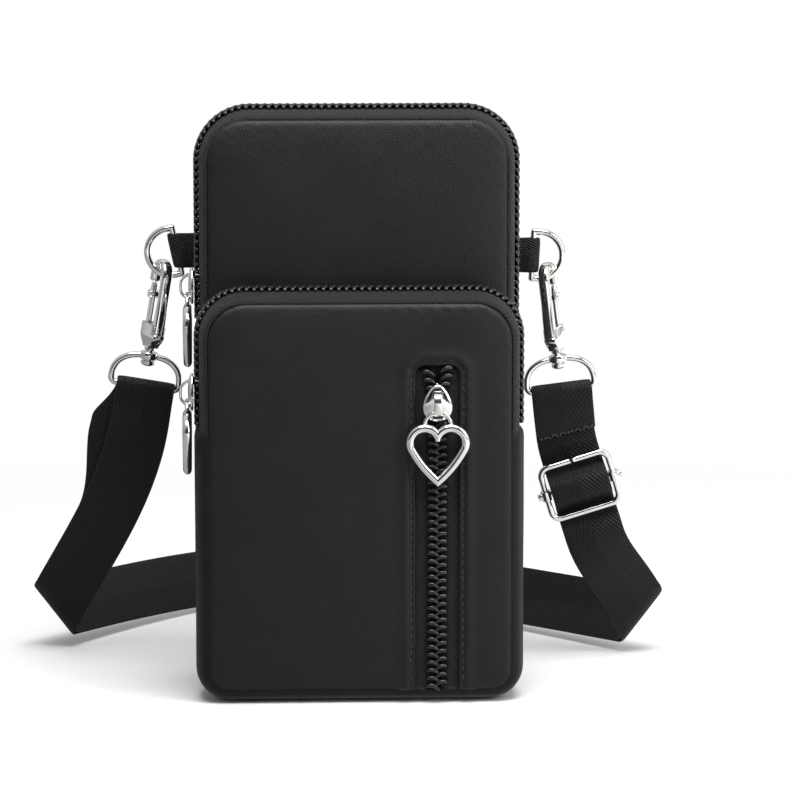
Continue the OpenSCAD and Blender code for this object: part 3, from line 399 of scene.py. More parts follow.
# A crowned panel: its face falls to the seam as exp(-distance/roll) and stands proud in its middle.
# Its rear face is flat and its rim closes the two.
def panel(name, look):
    low, high = bag["rise"], look["height"] - bag["rise"]
    w = bag["width"] - 2 * bag["rise"]
    rLow, rHigh = look["rLow"], look["rHigh"]
    xs = edgeStops(14, 9, 9.8, w / 2 - 9, 1.4) - w / 2
    xs = np.concatenate([xs, -xs[::-1]])
    if look["pocket"]:
        reach = np.array([-12.3, 12.3]) + pocket["x"]
        xs = refined(xs, *reach, np.arange(pocket["x"] - 12, pocket["x"] + 12.01, 0.4))
    xs = np.unique(np.round(xs, 4)) / (w / 2)
    t = edgeStops(22, 14, 15.2, (high - low) / 2 - 14, 1.5)
    zs = np.concatenate([low + t, high - t])
    if look["pocket"]:
        zs = refined(zs, 92, 116, np.arange(92, 116, 0.45))
    zs = np.unique(np.round(zs, 4))
    half = w / 2
    for r, past in ((rLow, rLow - (zs - low)), (rHigh, rHigh - (high - zs))):
        half = half - (r - np.sqrt(r ** 2 - np.clip(past, 0, r) ** 2))
    x = xs[None] * half[:, None]
    z = np.broadcast_to(zs[:, None], x.shape)
    d = np.maximum(edgeDistance(x, z, w, low, high, rLow, rHigh), 0)
    fall = np.exp(-d / look["roll"])
    ripple = look["ripple"] * waves(x, z, 17, look["phase"]) * (1 - fall)
    proud = look["crown"] * (1 - np.exp(-d / look["sweepOut"])) + ripple
    pucker = 0.10 * np.sin((x + z) * 1.15 + 1.3 * np.sin(z * 0.21)) * (np.exp(-d / 3.2) - np.exp(-d / 0.64))
    out = look["edgeDrop"] * fall + look["inset"] - proud - pucker
    if look["pocket"]:
        s = pocketDistance(x, z)
        flat = np.exp(-(np.maximum(s, 0) / 7) ** 2)
        out = out + (z < pocket["high"] + 12) * (pocketLip(s, z) + (proud - 0.9) * flat)
        out = out + pocket["sink"] * ramp(-s, -0.35, 0.75)
    rear = np.where(fall > 0.97, look["edgeDrop"] + 0.4, look["depth"])
    near, far = [np.stack([x, look["face"] + look["sign"] * a, z], axis=-1) for a in (out, rear)]
    return slab(name, near, far)


panels = {
    "back": {"height": bag["height"], "face": bag["faceBack"], "sign": -1, "pocket": False, "crown": 2.2,
             "ripple": 0.35, "phase": 1.1},
    "middle": {"height": bag["height"], "face": bag["faceMiddle"], "sign": 1, "pocket": False, "crown": 2.3,
               "ripple": 0.3, "phase": 0.3},
    "front": {"height": bag["frontHeight"], "face": bag["faceFront"], "sign": 1, "pocket": True, "crown": 2.0,
              "ripple": 0.32, "phase": 2.4},
}
panelForm = {
    "roll": 0.55, "edgeDrop": 1.9, "inset": 0.7, "depth": 2.9, "rLow": 6.5, "rHigh": 12.5, "sweepOut": 9.5,
}
for name, look in panels.items():
    piece = panel(f"{name}Panel", {**panelForm, **look})
    finishPiece(piece, nylon, "bag", [f"{name}_{layer}" for layer in ("panel", "foam", "lining")])
print("panels made")


# Points along a band's line: up the left side from z low, round the corner, over the top and down the right.
# It gives the places and the outward normals at the distances s.
def bandLine(s, low, high, r):
    w = bag["width"] / 2
    side, bend, flat = high - r - low, math.pi / 2 * r, 2 * (w - r)
    total = 2 * side + 2 * bend + flat
    q = np.minimum(s, total - s)
    a = np.clip((q - side) / r, 0, math.pi / 2)
    x = -(w - r) - r * np.cos(a) + np.maximum(q - side - bend, 0)
    z = low + np.minimum(q, side) + r * np.sin(a)
    nx, nz = -np.cos(a), np.sin(a)
    sign = np.where(s > total / 2, -1, 1)
    return np.stack([x * sign, 0 * x, z], axis=1), np.stack([nx * sign, 0 * x, nz], axis=1), total


# A bulging strip round the bag: its section is a superellipse from seam to seam, cut at y0 and y1. Its edges
# reach a little past the seams, into the panels' grooves.
stripForm = {"step": 1.5, "count": 26, "lap": 1.65, "past": 1.7, "power": 2.6, "root": 1 / 1.7, "tuck": 1.4}


def strip(name, mid, half, y0, y1, rise, low, high, r, under, thick, wave):
    total = 2 * (high - r - low) + math.pi * r + 2 * (bag["width"] / 2 - r)
    s = np.linspace(0, total, int(total / stripForm["step"]) + 1)
    path, out, _ = bandLine(s, low, high, r)
    t = np.linspace(y0, y1, stripForm["count"])
    c = np.clip(np.abs(t) / (half + stripForm["past"]), 0, 1)
    top = -bag["rise"] + rise * (1 - c ** stripForm["power"]) ** stripForm["root"]
    section = np.concatenate([np.stack([t, top], 1), np.stack([t[::-1], top[::-1] - thick], 1)])
    body = np.repeat(section[None], len(s), axis=0)
    if under:
        body[..., 1] -= stripForm["tuck"] * np.exp(-(np.minimum(s, total - s) / 1.1) ** 2)[:, None]
        path, out = path * [1, 1, -1], out * [1, 1, -1]
    both, bulge = np.concatenate([t, t[::-1]]), np.concatenate([1 - c ** 2, 1 - c[::-1] ** 2])
    body[..., 1] += wave * bulge[None] * waves(s[:, None], both[None], 9, mid)
    side = np.broadcast_to([0.0, 1.0, 0.0], path.shape)
    return sweep(name, path + np.array([0, mid, 0]), side, out, body, uvAlong=s, sharpAngle=50)


for name, mid, half, end, node in (
        ("mainGusset", 0, bag["mainHalf"], bag["mainZipEnd"], "main_gusset"),
        ("frontGusset", bag["frontMid"], bag["frontHalf"], bag["frontZipEnd"], "front_gusset")):
    edge = half + stripForm["lap"]
    piece = strip(name, mid, half, -edge, edge, bag["rise"], -end, 0, bag["bottomRadius"], True, 1.0, 0.12)
    finishPiece(piece, gussetNylon, "bag", [node])

zips = {
    "main": {"mid": 0, "half": bag["mainHalf"], "line": bag["mainZipY"], "end": bag["mainZipEnd"],
             "top": bag["height"], "radius": 18},
    "front": {"mid": bag["frontMid"], "half": bag["frontHalf"], "line": bag["frontMid"],
              "end": bag["frontZipEnd"], "top": bag["frontHeight"], "radius": 16},
}
# A turn of coil runs from its tape over to the other row: its places across, out and along, and its radii
coil = {
    "pitch": 2.4, "start": 0.5, "height": 1.6, "gap": 1.1, "sides": 6,
    "across": [3.15, 3.0, 2.3, 1.2, 0.2, -0.45, -0.62, -0.4],
    "out": [0.0, 0.4, 0.85, 1.0, 1.0, 0.86, 0.5, 0.2],
    "along": [0.0, 0.1, 0.3, 0.25, -0.1, -0.5, -0.65, -0.7],
    "r": [0.55, 0.7, 0.78, 0.76, 0.68, 0.62, 0.55, 0.35],
}

for name, z in zips.items():
    line, edge = z["line"] - z["mid"], z["half"] + stripForm["lap"]
    for part, y0, y1 in (("Front", -edge, line - coil["gap"]), ("Rear", line + coil["gap"], edge)):
        piece = strip(f"{name}Tape{part}", z["mid"], z["half"], y0, y1, bag["rise"] - coil["height"] + 0.1,
                      z["end"] - 1.5, z["top"], z["radius"], False, 0.5, 0.1)
        finishPiece(piece, tapeCloth, "bag", [f"{name}_zip_tape_{part.lower()}"])
print("gussets and tapes made")


# One turn of coil, a bent tube: along (a), across (b) and outwards (n)
def coilTurn(slant):
    path = np.stack([np.array(coil["along"]) * slant, coil["across"], coil["out"]], axis=1)
    side = unit(np.cross(unit(np.gradient(path, axis=0)), [1.0, 0, 0]))
    r = np.array(coil["r"])
    a = np.arange(coil["sides"]) * 2 * math.pi / coil["sides"]
    ring = path[:, None] + r[:, None, None] * (np.cos(a)[None, :, None] * np.array([1.0, 0, 0]) +
                                               np.sin(a)[None, :, None] * side[:, None])
    return ring.reshape(-1, 3), len(path), coil["sides"]


# A row of turns at the given places, with the directions along, across and outwards of each
def coilRow(name, places, along, across, out, nodes, slant=1.0):
    turn, rows, cols = coilTurn(slant)
    points = (places[:, None] + turn[None, :, :1] * along[:, None] + turn[None, :, 1:2] * across[:, None]
              + turn[None, :, 2:] * out[:, None])
    count = len(places)
    caps = np.array([[0, 1, 2, 3], [0, 3, 4, 5]])
    quads = np.concatenate([gridFaces(rows, cols, False, True), caps[:, ::-1], caps + (rows - 1) * cols])
    quads = (quads[None] + np.arange(count)[:, None, None] * rows * cols).reshape(-1, 4)
    piece = faceOut(makePiece(name, points, quads))
    return finishPiece(piece, coilPlastic, "bag", nodes)


for name, z in zips.items():
    _, _, total = bandLine(np.array([0.0]), z["end"], z["top"], z["radius"])
    for part, sign, shift in (("front", -1, 0.25), ("rear", 1, 0.75)):
        live = total - 2 * coil["start"]
        count = round(live / coil["pitch"])
        s = coil["start"] + (np.arange(count) + shift) * live / count
        place, out, _ = bandLine(s, z["end"], z["top"], z["radius"])
        place = place - out * coil["height"] + np.array([0, z["line"], 0])
        across = np.broadcast_to([0.0, float(sign), 0.0], place.shape)
        along = unit(np.cross(out, [0.0, -1.0, 0.0]))
        coilRow(f"{name}Coil{part.title()}", place, along, across, out, [f"{name}_zip_coil_{part}"])

# The pocket's rows part above its slider
for part, sign, shift in (("left", -1, 0.0), ("right", 1, 0.5)):
    z = pocket["low"] + 0.9 + (np.arange(41) + shift) * pocket["pitch"]
    spread = np.clip((z - pocket["sliderZ"] - 2.6) * 0.3, 0, 1.6)
    place = np.stack([pocket["x"] + sign * spread, np.full_like(z, pocket["tapeY"] - 0.05), z], axis=1)
    ways = [np.broadcast_to(v, place.shape) for v in ([0, 0, 1.0], [float(sign), 0, 0], [0, -1.0, 0])]
    coilRow(f"pocketCoil{part.title()}", place, *ways, [f"pocket_zip_coil_{part}"], 1.5)
print("coils made")


# The pocket's tapes: flat strips that dip a little towards their outer edges
tapeForm = {"inner": 1.05, "lap": 1.4, "dip": 0.5, "dipFrom": 3.5, "thick": 0.45, "step": 1.5}
t = np.linspace(tapeForm["inner"], pocket["half"] + tapeForm["lap"], 14)
dip = tapeForm["dip"] * ramp(t, tapeForm["dipFrom"], t[-1])
section = np.concatenate([np.stack([t, -dip], 1), np.stack([t[::-1], -dip[::-1] - tapeForm["thick"]], 1)])
zs = np.arange(pocket["low"] - 0.3, pocket["high"] - 0.4, tapeForm["step"])
path = np.stack([np.full_like(zs, pocket["x"]), np.full_like(zs, pocket["tapeY"]), zs], axis=1)
for part, sign in (("left", -1), ("right", 1)):
    ways = [np.broadcast_to(v, path.shape) for v in ([float(sign), 0, 0], [0, -1.0, 0])]
    piece = sweep(f"pocketTape{part.title()}", path, *ways, section)
    finishPiece(piece, tapeCloth, "bag", [f"pocket_zip_tape_{part}"])

# The pocket's bag behind the panel: a flat sack that fills out in its middle
sack = {"half": 40, "low": 5.6, "high": 112, "near": -35.8, "far": -30.4, "roll": 5}
u, v = np.meshgrid(np.linspace(-1, 1, 40), np.linspace(0, 1, 50))
x = u * sack["half"]
z = sack["low"] + v * (sack["high"] - sack["low"])
d = np.minimum(sack["half"] - np.abs(x), np.minimum(z - sack["low"], sack["high"] - z))
fill = (1 - np.exp(-d / sack["roll"])) * (sack["far"] - sack["near"]) / 2 + 0.15 * waves(x, z, 11, 0.7)
midY = (sack["near"] + sack["far"]) / 2
near = np.stack([x, midY - np.abs(fill), z], axis=-1)
far = np.stack([x, midY + np.abs(fill) * 0.96, z], axis=-1)
finishPiece(slab("pocketSack", near, far), lining, "bag", ["pocket_bag"])


# A run of stitches along a line: short rounded beads sunk into the cloth, each with a few faces
def stitches(name, starts, ends, normals, r=0.22):
    t = np.array([-0.5, -0.36, 0.0, 0.36, 0.5])
    size = np.array([0.25, 0.8, 1.0, 0.8, 0.25]) * r
    drop = np.array([-0.3, -0.05, 0.0, -0.05, -0.3]) * r * 2
    a = np.arange(5) * 2 * math.pi / 5
    way, mid = ends - starts, (starts + ends) / 2
    normals = np.broadcast_to(unit(normals), way.shape)
    side = unit(np.cross(way, normals))
    ring = (mid[:, None, None] + way[:, None, None] * t[None, :, None, None]
            + side[:, None, None] * (size[:, None] * np.cos(a))[None, :, :, None]
            + normals[:, None, None] * (size[:, None] * np.sin(a) * 0.8 + drop[:, None])[None, :, :, None])
    quads = gridFaces(len(t), len(a), False, True)
    quads = (quads[None] + np.arange(len(starts))[:, None, None] * len(t) * len(a)).reshape(-1, 4)
    piece = faceOut(makePiece(name, ring.reshape(-1, 3), quads))
    return finishPiece(piece, thread, "bag", [])


# Starts and ends of stitches along a polyline, each stitch length long with a gap after it
def stitchRun(corners, length, gap):
    corners = np.asarray(corners, float)
    starts, ends = [], []
    for a, b in zip(corners[:-1], corners[1:]):
        span = np.linalg.norm(b - a)
        n = max(1, int(round(span / (length + gap))))
        k = np.arange(n)
        pitch = span / n
        way = (b - a) / span
        starts.append(a + way * (k * pitch + gap / 2)[:, None])
        ends.append(a + way * ((k + 1) * pitch - gap / 2)[:, None])
    return np.concatenate(starts), np.concatenate(ends)


frameHalf = pocket["half"] + pocket["stitchOut"]
topZ = pocket["high"] + pocket["stitchTop"]
stitchY = bag["faceFront"] - 0.36
corners = [(-1, 7), (-1, topZ), (1, topZ), (1, 7)]
starts, ends = stitchRun([[pocket["x"] + k * frameHalf, stitchY, z] for k, z in corners], 1.7, 0.9)
stitches("pocketStitches", starts, ends, [0, -1, 0], 0.3)
print("pocket made")

# The gear at the bag's sides, in the CAD source's sizes. The loops are taller than there, as in the photo.
gear = {
    "ringX": 57.7, "tabY": 13.75, "ringWire": 2.1, "bow": 7.6, "leg": 2.0, "hang": 24, "eye": 3.0, "bar": 2.6,
    "thick": 3.6, "reach": 15.6, "base": 7.8, "tip": 2.4, "pin": 0.7, "seat": 0.35, "neck": 1.2,
    "swivel": 1.3, "rivet": 2.3, "rivetHigh": 1.8, "hub": 3.0, "hubHigh": 2.5, "cadLoop": 7.0, "loopHigh": 10.2,
    "loopWire": 2.0, "loopHalf": 11.05, "loopCorner": 1.7, "turn": 66,
}
hangers = {
    "left": {"sign": -1, "tab": 138.5, "tilt": 12, "lean": 9.5, "back": 15.5, "squeeze": 0.97},
    "right": {"sign": 1, "tab": 136.5, "tilt": 3, "lean": 7, "back": 9.5, "squeeze": 1.0},
}


# Cosine and sine of an angle in degrees
def turnOf(angle):
    return math.cos(math.radians(angle)), math.sin(math.radians(angle))


# A local frame: its origin and its three directions, mirrored in X for the left side
class Place:
    def __init__(self, origin, axes, sign=1):
        self.flip = np.array([sign, 1, 1])
        self.origin, self.axes = np.asarray(origin, float), np.asarray(axes, float)

    def at(self, points):
        return (self.origin + np.asarray(points, float) @ self.axes) * self.flip

    def way(self, vectors):
        return (np.asarray(vectors, float) @ self.axes) * self.flip


# A hook's frame: it hangs from its ring's bow with its length down -Z. Its swivel's pieces hang further down.
def hangPlace(look, turn, drop=0.0):
    ch, sh = turnOf(gear["hang"])
    ct, st = turnOf(look["tilt"])
    slope = math.tan(math.radians(gear["hang"] - look["lean"]))
    seat = gear["ringWire"] / 2 / ch + gear["seat"] + gear["thick"] / 2 * slope
    x = gear["ringX"] + gear["leg"] * ct + gear["bow"] * sh
    z = look["tab"] - gear["leg"] * st - gear["bow"] * ch + seat - gear["eye"]
    cl, sl = turnOf(look["lean"])
    cr, sr = turnOf(turn)
    out, back, up = np.array([cl, 0, sl]), np.array([0, 1.0, 0]), np.array([-sl, 0, cl])
    axes = np.array([cr * out + sr * back, cr * back - sr * out, up])
    return Place(np.array([x, gear["tabY"], z]) - up * drop, axes, look["sign"])


# Two of a local frame's directions, given again at each point of a path
def fixedWays(place, path, side, up):
    return [np.broadcast_to(place.way(v), path.shape) for v in (side, up)]


# A tube in a local frame, along a path in the plane across its Y: the section's first size lies in that plane
def bent(name, place, path, section, closed=False):
    path = np.asarray(path, float)
    back, ahead = np.roll(path, 1, axis=0), np.roll(path, -1, axis=0)
    if not closed:
        back[0], ahead[-1] = path[0], path[-1]
    side = unit(np.cross(unit(ahead - back), [0, 1.0, 0]))
    up = np.broadcast_to([0, 1.0, 0], path.shape)
    return sweep(name, place.at(path), place.way(side), place.way(up), section, closed)


# A turned piece: circles of the radii r at the heights h along one of a local frame's directions
def turnedPiece(name, place, axis, profile, centre=(0, 0, 0), count=24):
    r, h = np.asarray(profile, float).T
    along, side, up = np.roll(np.eye(3), -axis, axis=0)
    path = np.asarray(centre, float) + h[:, None] * along
    rings = r[:, None, None] * roundSection(1, 1, 2.0, count)
    return sweep(name, place.at(path), *fixedWays(place, path, side, up), rings, sharpAngle=40)


# A turned piece's profile from its upper half, given from the end inwards
def mirrored(half):
    return [(r, -h) for r, h in half] + half[::-1]


# Points on the arc of a circle in the XZ plane
def arcPoints(x, z, r, first, last, count):
    t = np.radians(np.linspace(first, last, count))
    return np.stack([x + r * np.cos(t), 0 * t, z + r * np.sin(t)], axis=1)


def linePoints(start, end, count):
    return np.linspace(np.asarray(start, float), np.asarray(end, float), count)


# A cast snap hook: a bar with flattened sides from its base over the eye to its tip, a base with a slot for
# the gate, and the swivel's pin with its rivet. The lengths run down from the eye's centre.
def buildHook(side, look):
    place = hangPlace(look, gear["turn"])
    mid, foot = gear["eye"] + gear["bar"] / 2, gear["reach"] + gear["base"] * 0.55
    body, bottom = f"hook_{side}", gear["reach"] + gear["base"]
    path = np.concatenate([
        linePoints([-mid, 0, 1 - foot], [-mid, 0, -0.4], 26), arcPoints(0, 0, mid, 180, 0, 30),
        linePoints([mid, 0, -0.5], [mid, 0, -gear["tip"]], 8)])
    # The bar thins over its last steps and swells towards the base
    past = ((np.arange(len(path)) - len(path) + 5) / 4.6).clip(0)
    swell = 1 + 0.30 * ramp(-path[:, 2], 7, foot) * (path[:, 0] < 0)
    size = np.minimum(1, np.sqrt(np.maximum(1 - past ** 2, 0.12))) * swell
    section = roundSection(gear["bar"] / 2, gear["thick"] / 2, 2.7, 24) * size[:, None, None]
    section[..., 1] = np.clip(section[..., 1], -gear["thick"] / 2, gear["thick"] / 2)
    plated(bent(f"{side}HookBar", place, path, section), body, body)
    # The base, from its top down: half widths, and whether the slot is open there
    w, y = mid + gear["bar"] / 2, gear["thick"] / 2
    rows = [(gear["reach"], w - 0.5, 1), (gear["reach"] + 0.5, w, 1), (foot, w, 1), (foot + 0.02, w, 0),
            (foot + 1.2, w * 0.80, 0), (bottom - 0.6, w * 0.44, 0), (bottom, w * 0.4, 0)]
    slotX, slotY = mid - gear["bar"], y / 2
    rings = [[[s, -slotY], [h, -slotY], [h, -y], [-h, -y], [-h, y], [h, y], [h, slotY], [s, slotY]]
             for _, h, s in ((z, h, slotX if isOpen else h) for z, h, isOpen in rows)]
    path = np.array([[0, 0, -z] for z, _, _ in rows])
    piece = sweep(f"{side}HookBase", place.at(path), *fixedWays(place, path, [1, 0, 0], [0, 1, 0]), rings)
    bevel = piece.modifiers.new("edges", "BEVEL")
    bevel.width, bevel.segments = 0.35 * mm, 3
    bevel.limit_method, bevel.angle_limit = "ANGLE", math.radians(35)
    plated(piece, body)
    s, r, neck = gear["swivel"], gear["rivet"], -bottom - gear["neck"]
    head = neck - 2 * gear["seat"] - gear["hubHigh"]
    plated(turnedPiece(f"{side}HookSwivel", place, 2, [
        (y * 0.9, 0.5 - bottom), (y, 0.2 - bottom), (y, 0.3 + neck), (y - 0.3, neck), (s, neck), (s, head),
        (r - 0.3, head), (r, head - 0.3), (r, head - 1.0), (r * 0.8, head - 1.55),
        (r * 0.45, head - gear["rivetHigh"])]), body)
    pinZ, pinEnd = -gear["reach"] - gear["base"] * 0.3, y + 0.12
    profile = mirrored([(0.35, pinEnd), (0.6, pinEnd - 0.06), (gear["pin"], y)])
    plated(turnedPiece(f"{side}GatePin", place, 1, profile, (mid, 0, pinZ)), body, f"gate_pin_{side}")
    # The gate, from its round foot on the pin up to the hook's tip
    top = -gear["tip"] - 0.4
    zs = np.array([pinZ - 1.15, pinZ - 0.9, pinZ - 0.3, pinZ + 1.5, -9, top - 1.3, top - 0.35, top])
    wide = np.array([0.5, 0.95, 1.17, 1.17, 1.25, 1.3, 1.05, 0.7])
    path = np.stack([0 * zs + mid, 0 * zs, zs], axis=1)
    section = roundSection(1, 1, 3.2, 20) * np.stack([wide, np.minimum(wide, 0.8)], axis=1)[:, None]
    ways = fixedWays(place, path, [1, 0, 0], [0, 1, 0])
    plated(sweep(f"{side}Gate", place.at(path), *ways, section), f"gate_{side}", f"gate_{side}")
    k, r = y * 0.94, 1.43
    profile = mirrored([(r - 0.5, k), (r - 0.15, k - 0.12), (r, k - 0.45)])
    plated(turnedPiece(f"{side}GateKnob", place, 1, profile, (mid, 0, top - 3.64)), f"gate_{side}")


# A strap loop: a wide arch of round wire, a superellipse of the power 2.5, over its straight bar, and its hub.
# It gives the middle of its own bar and of the CAD's.
def buildLoop(side, look):
    drop = gear["reach"] + gear["base"] + gear["neck"] + gear["seat"] + gear["hubHigh"] / 2
    place = hangPlace(look, 0, drop)
    a, h, c = gear["loopHalf"], gear["loopHigh"], gear["loopCorner"]
    t = np.linspace(0, math.pi, 61)
    arch = np.stack([a * signed(np.cos(t), 0.8), 0 * t, c - h + (h - c) * np.sin(t) ** 0.8], axis=1)
    path = np.concatenate([
        arch[:-1], arcPoints(c - a, c - h, c, 180, 270, 8),
        linePoints([c + 0.8 - a, 0, -h], [a - c - 0.8, 0, -h], 14), arcPoints(a - c, c - h, c, 270, 360, 8)[:-1]])
    r = gear["loopWire"] / 2
    plated(bent(f"{side}Loop", place, path, roundSection(r, r, 2.0, 18), True), "bag", f"strap_loop_{side}")
    bore = gear["swivel"] + 0.05
    wall = (gear["hub"] - bore) / 2
    circle = arcPoints(0, 0, bore + wall, 0, 360, 33)[:-1, [0, 2, 1]]
    ups = np.broadcast_to([0, 0, 1.0], circle.shape)
    plated(sweep(f"{side}LoopHub", place.at(circle), place.way(unit(circle)), place.way(ups),
                 roundSection(wall, gear["hubHigh"] / 2, 3.5, 20), True), "bag")
    return place.at([0, 0, -h]), place.at([0, 0, -gear["cadLoop"]])


bars = {}
for side, look in hangers.items():
    buildHook(side, look)
    bars[side] = buildLoop(side, look)
for name in ("ring_left", "ring_right", "main_pull", "front_pull", "pocket_pull"):
    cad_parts[name].data.materials.clear()
    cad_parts[name].data.materials.append(metal)
print("hooks and loops made")


# A slider: two pear-shaped plates, the outer one domed, on both sides of the coils, a post between them and a
# bridge that holds the pull. The half width of a plate at the angle a is
# w * sin(a)^0.85 * (1 - 0.25 cos(a)) * (1 - 0.1 cos(a)^2).
sliderLook = {
    "half": 5.95, "wide": 4.6, "thick": 1.1, "gap": 0.25, "under": 2.75, "postZ": 3.6, "postWide": 0.85,
    "postHigh": 1.2, "bridge": 3.5, "bridgeWide": 1.3, "bridgeThick": 0.45, "bridgeHalf": 4.64,
    "bridgeMid": -0.36, "rest": 11,
}


def sliderPlate(name, place, low, high, dome):
    a = np.arange(40) * math.pi / 20
    c, s = np.cos(a), np.sin(a)
    x = sliderLook["wide"] * signed(s, 0.85) * (1 - 0.25 * c) * (1 - 0.1 * c ** 2)
    z = sliderLook["half"] * c
    size = np.array([0.02, 0.9, 0.985, 1.0, 0.99, 0.93, 0.78, 0.55, 0.3, 0.02])
    edge = high - 0.45
    height = np.array([low, low, low + 0.1, low + 0.3, edge, edge + 0.3, high + 0.35 * dome,
                       high + 0.72 * dome, high + 0.92 * dome, high + dome])
    path = np.stack([0 * size, -height, 0 * size], axis=1)
    section = np.stack([x, z], axis=1)[None] * size[:, None, None]
    return sweep(name, place.at(path), *fixedWays(place, path, [1, 0, 0], [0, 0, 1]), section, sharpAngle=55)


def buildSlider(name, place, node):
    look = sliderLook
    gap, thick, under = look["gap"], look["thick"], look["under"]
    plated(sliderPlate(f"{name}Cap", place, gap, gap + thick, 0.55), node, node)
    plated(sliderPlate(f"{name}Under", place, -under - thick, -under, 0), node)
    post = linePoints([0, under + 0.3, look["postZ"]], [0, -gap - 0.3, look["postZ"]], 4)
    ways = fixedWays(place, post, [1, 0, 0], [0, 0, 1])
    section = roundSection(look["postWide"], look["postHigh"], 3, 16)
    plated(sweep(f"{name}Post", place.at(post), *ways, section), node)
    foot, top = gap + 0.8, gap + look["bridge"] + thick * 0.5
    t = np.linspace(-1, 1, 31)
    height = foot + (top - foot) * (1 - np.abs(t) ** 3.4)
    path = np.stack([0 * t, -height, look["bridgeMid"] + (look["bridgeHalf"] - 0.5) * t], axis=1)
    side = np.broadcast_to([1.0, 0, 0], path.shape)
    up = unit(np.cross(side, unit(np.gradient(path, axis=0))))
    wide = look["bridgeWide"] * (1 + 0.35 * np.abs(t) ** 3)
    section = roundSection(1, 1, 3, 20) * np.stack([wide, 0 * wide + look["bridgeThick"]], axis=1)[:, None]
    plated(sweep(f"{name}Bridge", place.at(path), place.way(side), place.way(up), section), node)


outSides = np.array([[0, 1.0, 0], [1.0, 0, 0], [0, 0, 1.0]])
edge = -bag["width"] / 2
for name, origin, axes in (
        ("pocket", [pocket["x"], pocket["tapeY"] - coil["height"], pocket["sliderZ"]], np.eye(3)),
        ("main", [edge, bag["mainZipY"], bag["mainZipEnd"] + sliderLook["rest"]], outSides),
        ("front", [edge, bag["frontMid"], bag["frontZipEnd"] + sliderLook["rest"]], outSides)):
    buildSlider(f"{name}Slider", Place(origin, axes), f"{name}_slider")
print("sliders made")


# A drop's direction from its lean outwards and backwards in degrees
def leaning(out, back):
    return unit([math.tan(math.radians(out)), math.tan(math.radians(back)), -1])


# The strap's width across each direction, level with the bag's face
def widthOf(d):
    d = np.atleast_2d(d)
    return unit(np.stack([-d[:, 2], 0 * d[:, 0], d[:, 0]], axis=1))


# A curve from p to q that leaves along a and arrives along b: a cubic Hermite curve
def glide(p, a, q, b, count):
    t = np.linspace(0, 1, count)[:, None]
    span = np.linalg.norm(q - p)
    return (2 * t ** 3 - 3 * t ** 2 + 1) * p + (t ** 3 - 2 * t ** 2 + t) * span * a \
        + (3 * t ** 2 - 2 * t ** 3) * q + (t ** 3 - t ** 2) * span * b


# v turned round k by the angles a: Rodrigues' rotation
def turned(v, k, a):
    c, s = np.cos(a)[:, None], np.sin(a)[:, None]
    return v * c + np.cross(k, v) * s + k * (k @ v) * (1 - c)


strap = {
    "half": 9.75, "thick": 1.2, "apart": 0.7, "barR": 1.78, "merge": 7, "foldR": 4.3, "step": 0.6, "soft": 1.3,
    "reach": 140, "adjusterDrop": 36.5, "railLean": 17, "adjusterHalf": 8.4, "railLead": 15.12, "wave": 2.9,
    "seam": 14.8, "flap": 16.4, "straight": 8, "strayBack": 1.6, "straySide": 6.0,
}
drops = {
    "left": {"lowOut": -28, "lowBack": 22, "fold": (-99.0, 45.0, 19.5), "heading": 36, "lift": 3.0},
    "right": {"lowOut": 26, "lowBack": 13, "fold": (94.6, 30.0, 18.0), "heading": -44, "lift": 2.0},
}


# A fold at the floor from the direction d with the width w to the direction e: the band turns round a slanting
# line. It gives both edges and the face's direction at each step, with the run's lower edge near the floor.
def floorFold(o, d, w, e, lift):
    n = np.cross(w, d)
    n = n if n[1] > 0 else -n
    k = unit(np.cross(d - e, n))
    a, b = unit(d - k * (k @ d)), unit(e - k * (k @ e))
    k = k * np.sign(np.cross(a, b) @ k)
    t = np.linspace(0, math.acos(np.clip(a @ b, -1, 1)), 13)
    faces = turned(n, k, t)
    middle = o + (n - faces) * strap["foldR"]
    shift = strap["foldR"] * t * (a @ w)
    first, second = [middle + k * ((s * strap["half"] - shift) / (k @ w))[:, None] for s in (-1, 1)]
    lift = strap["thick"] - min(first[-1, 2], second[-1, 2]) + lift
    rise = np.array([0, 0, lift])
    return first + rise, second + rise, faces


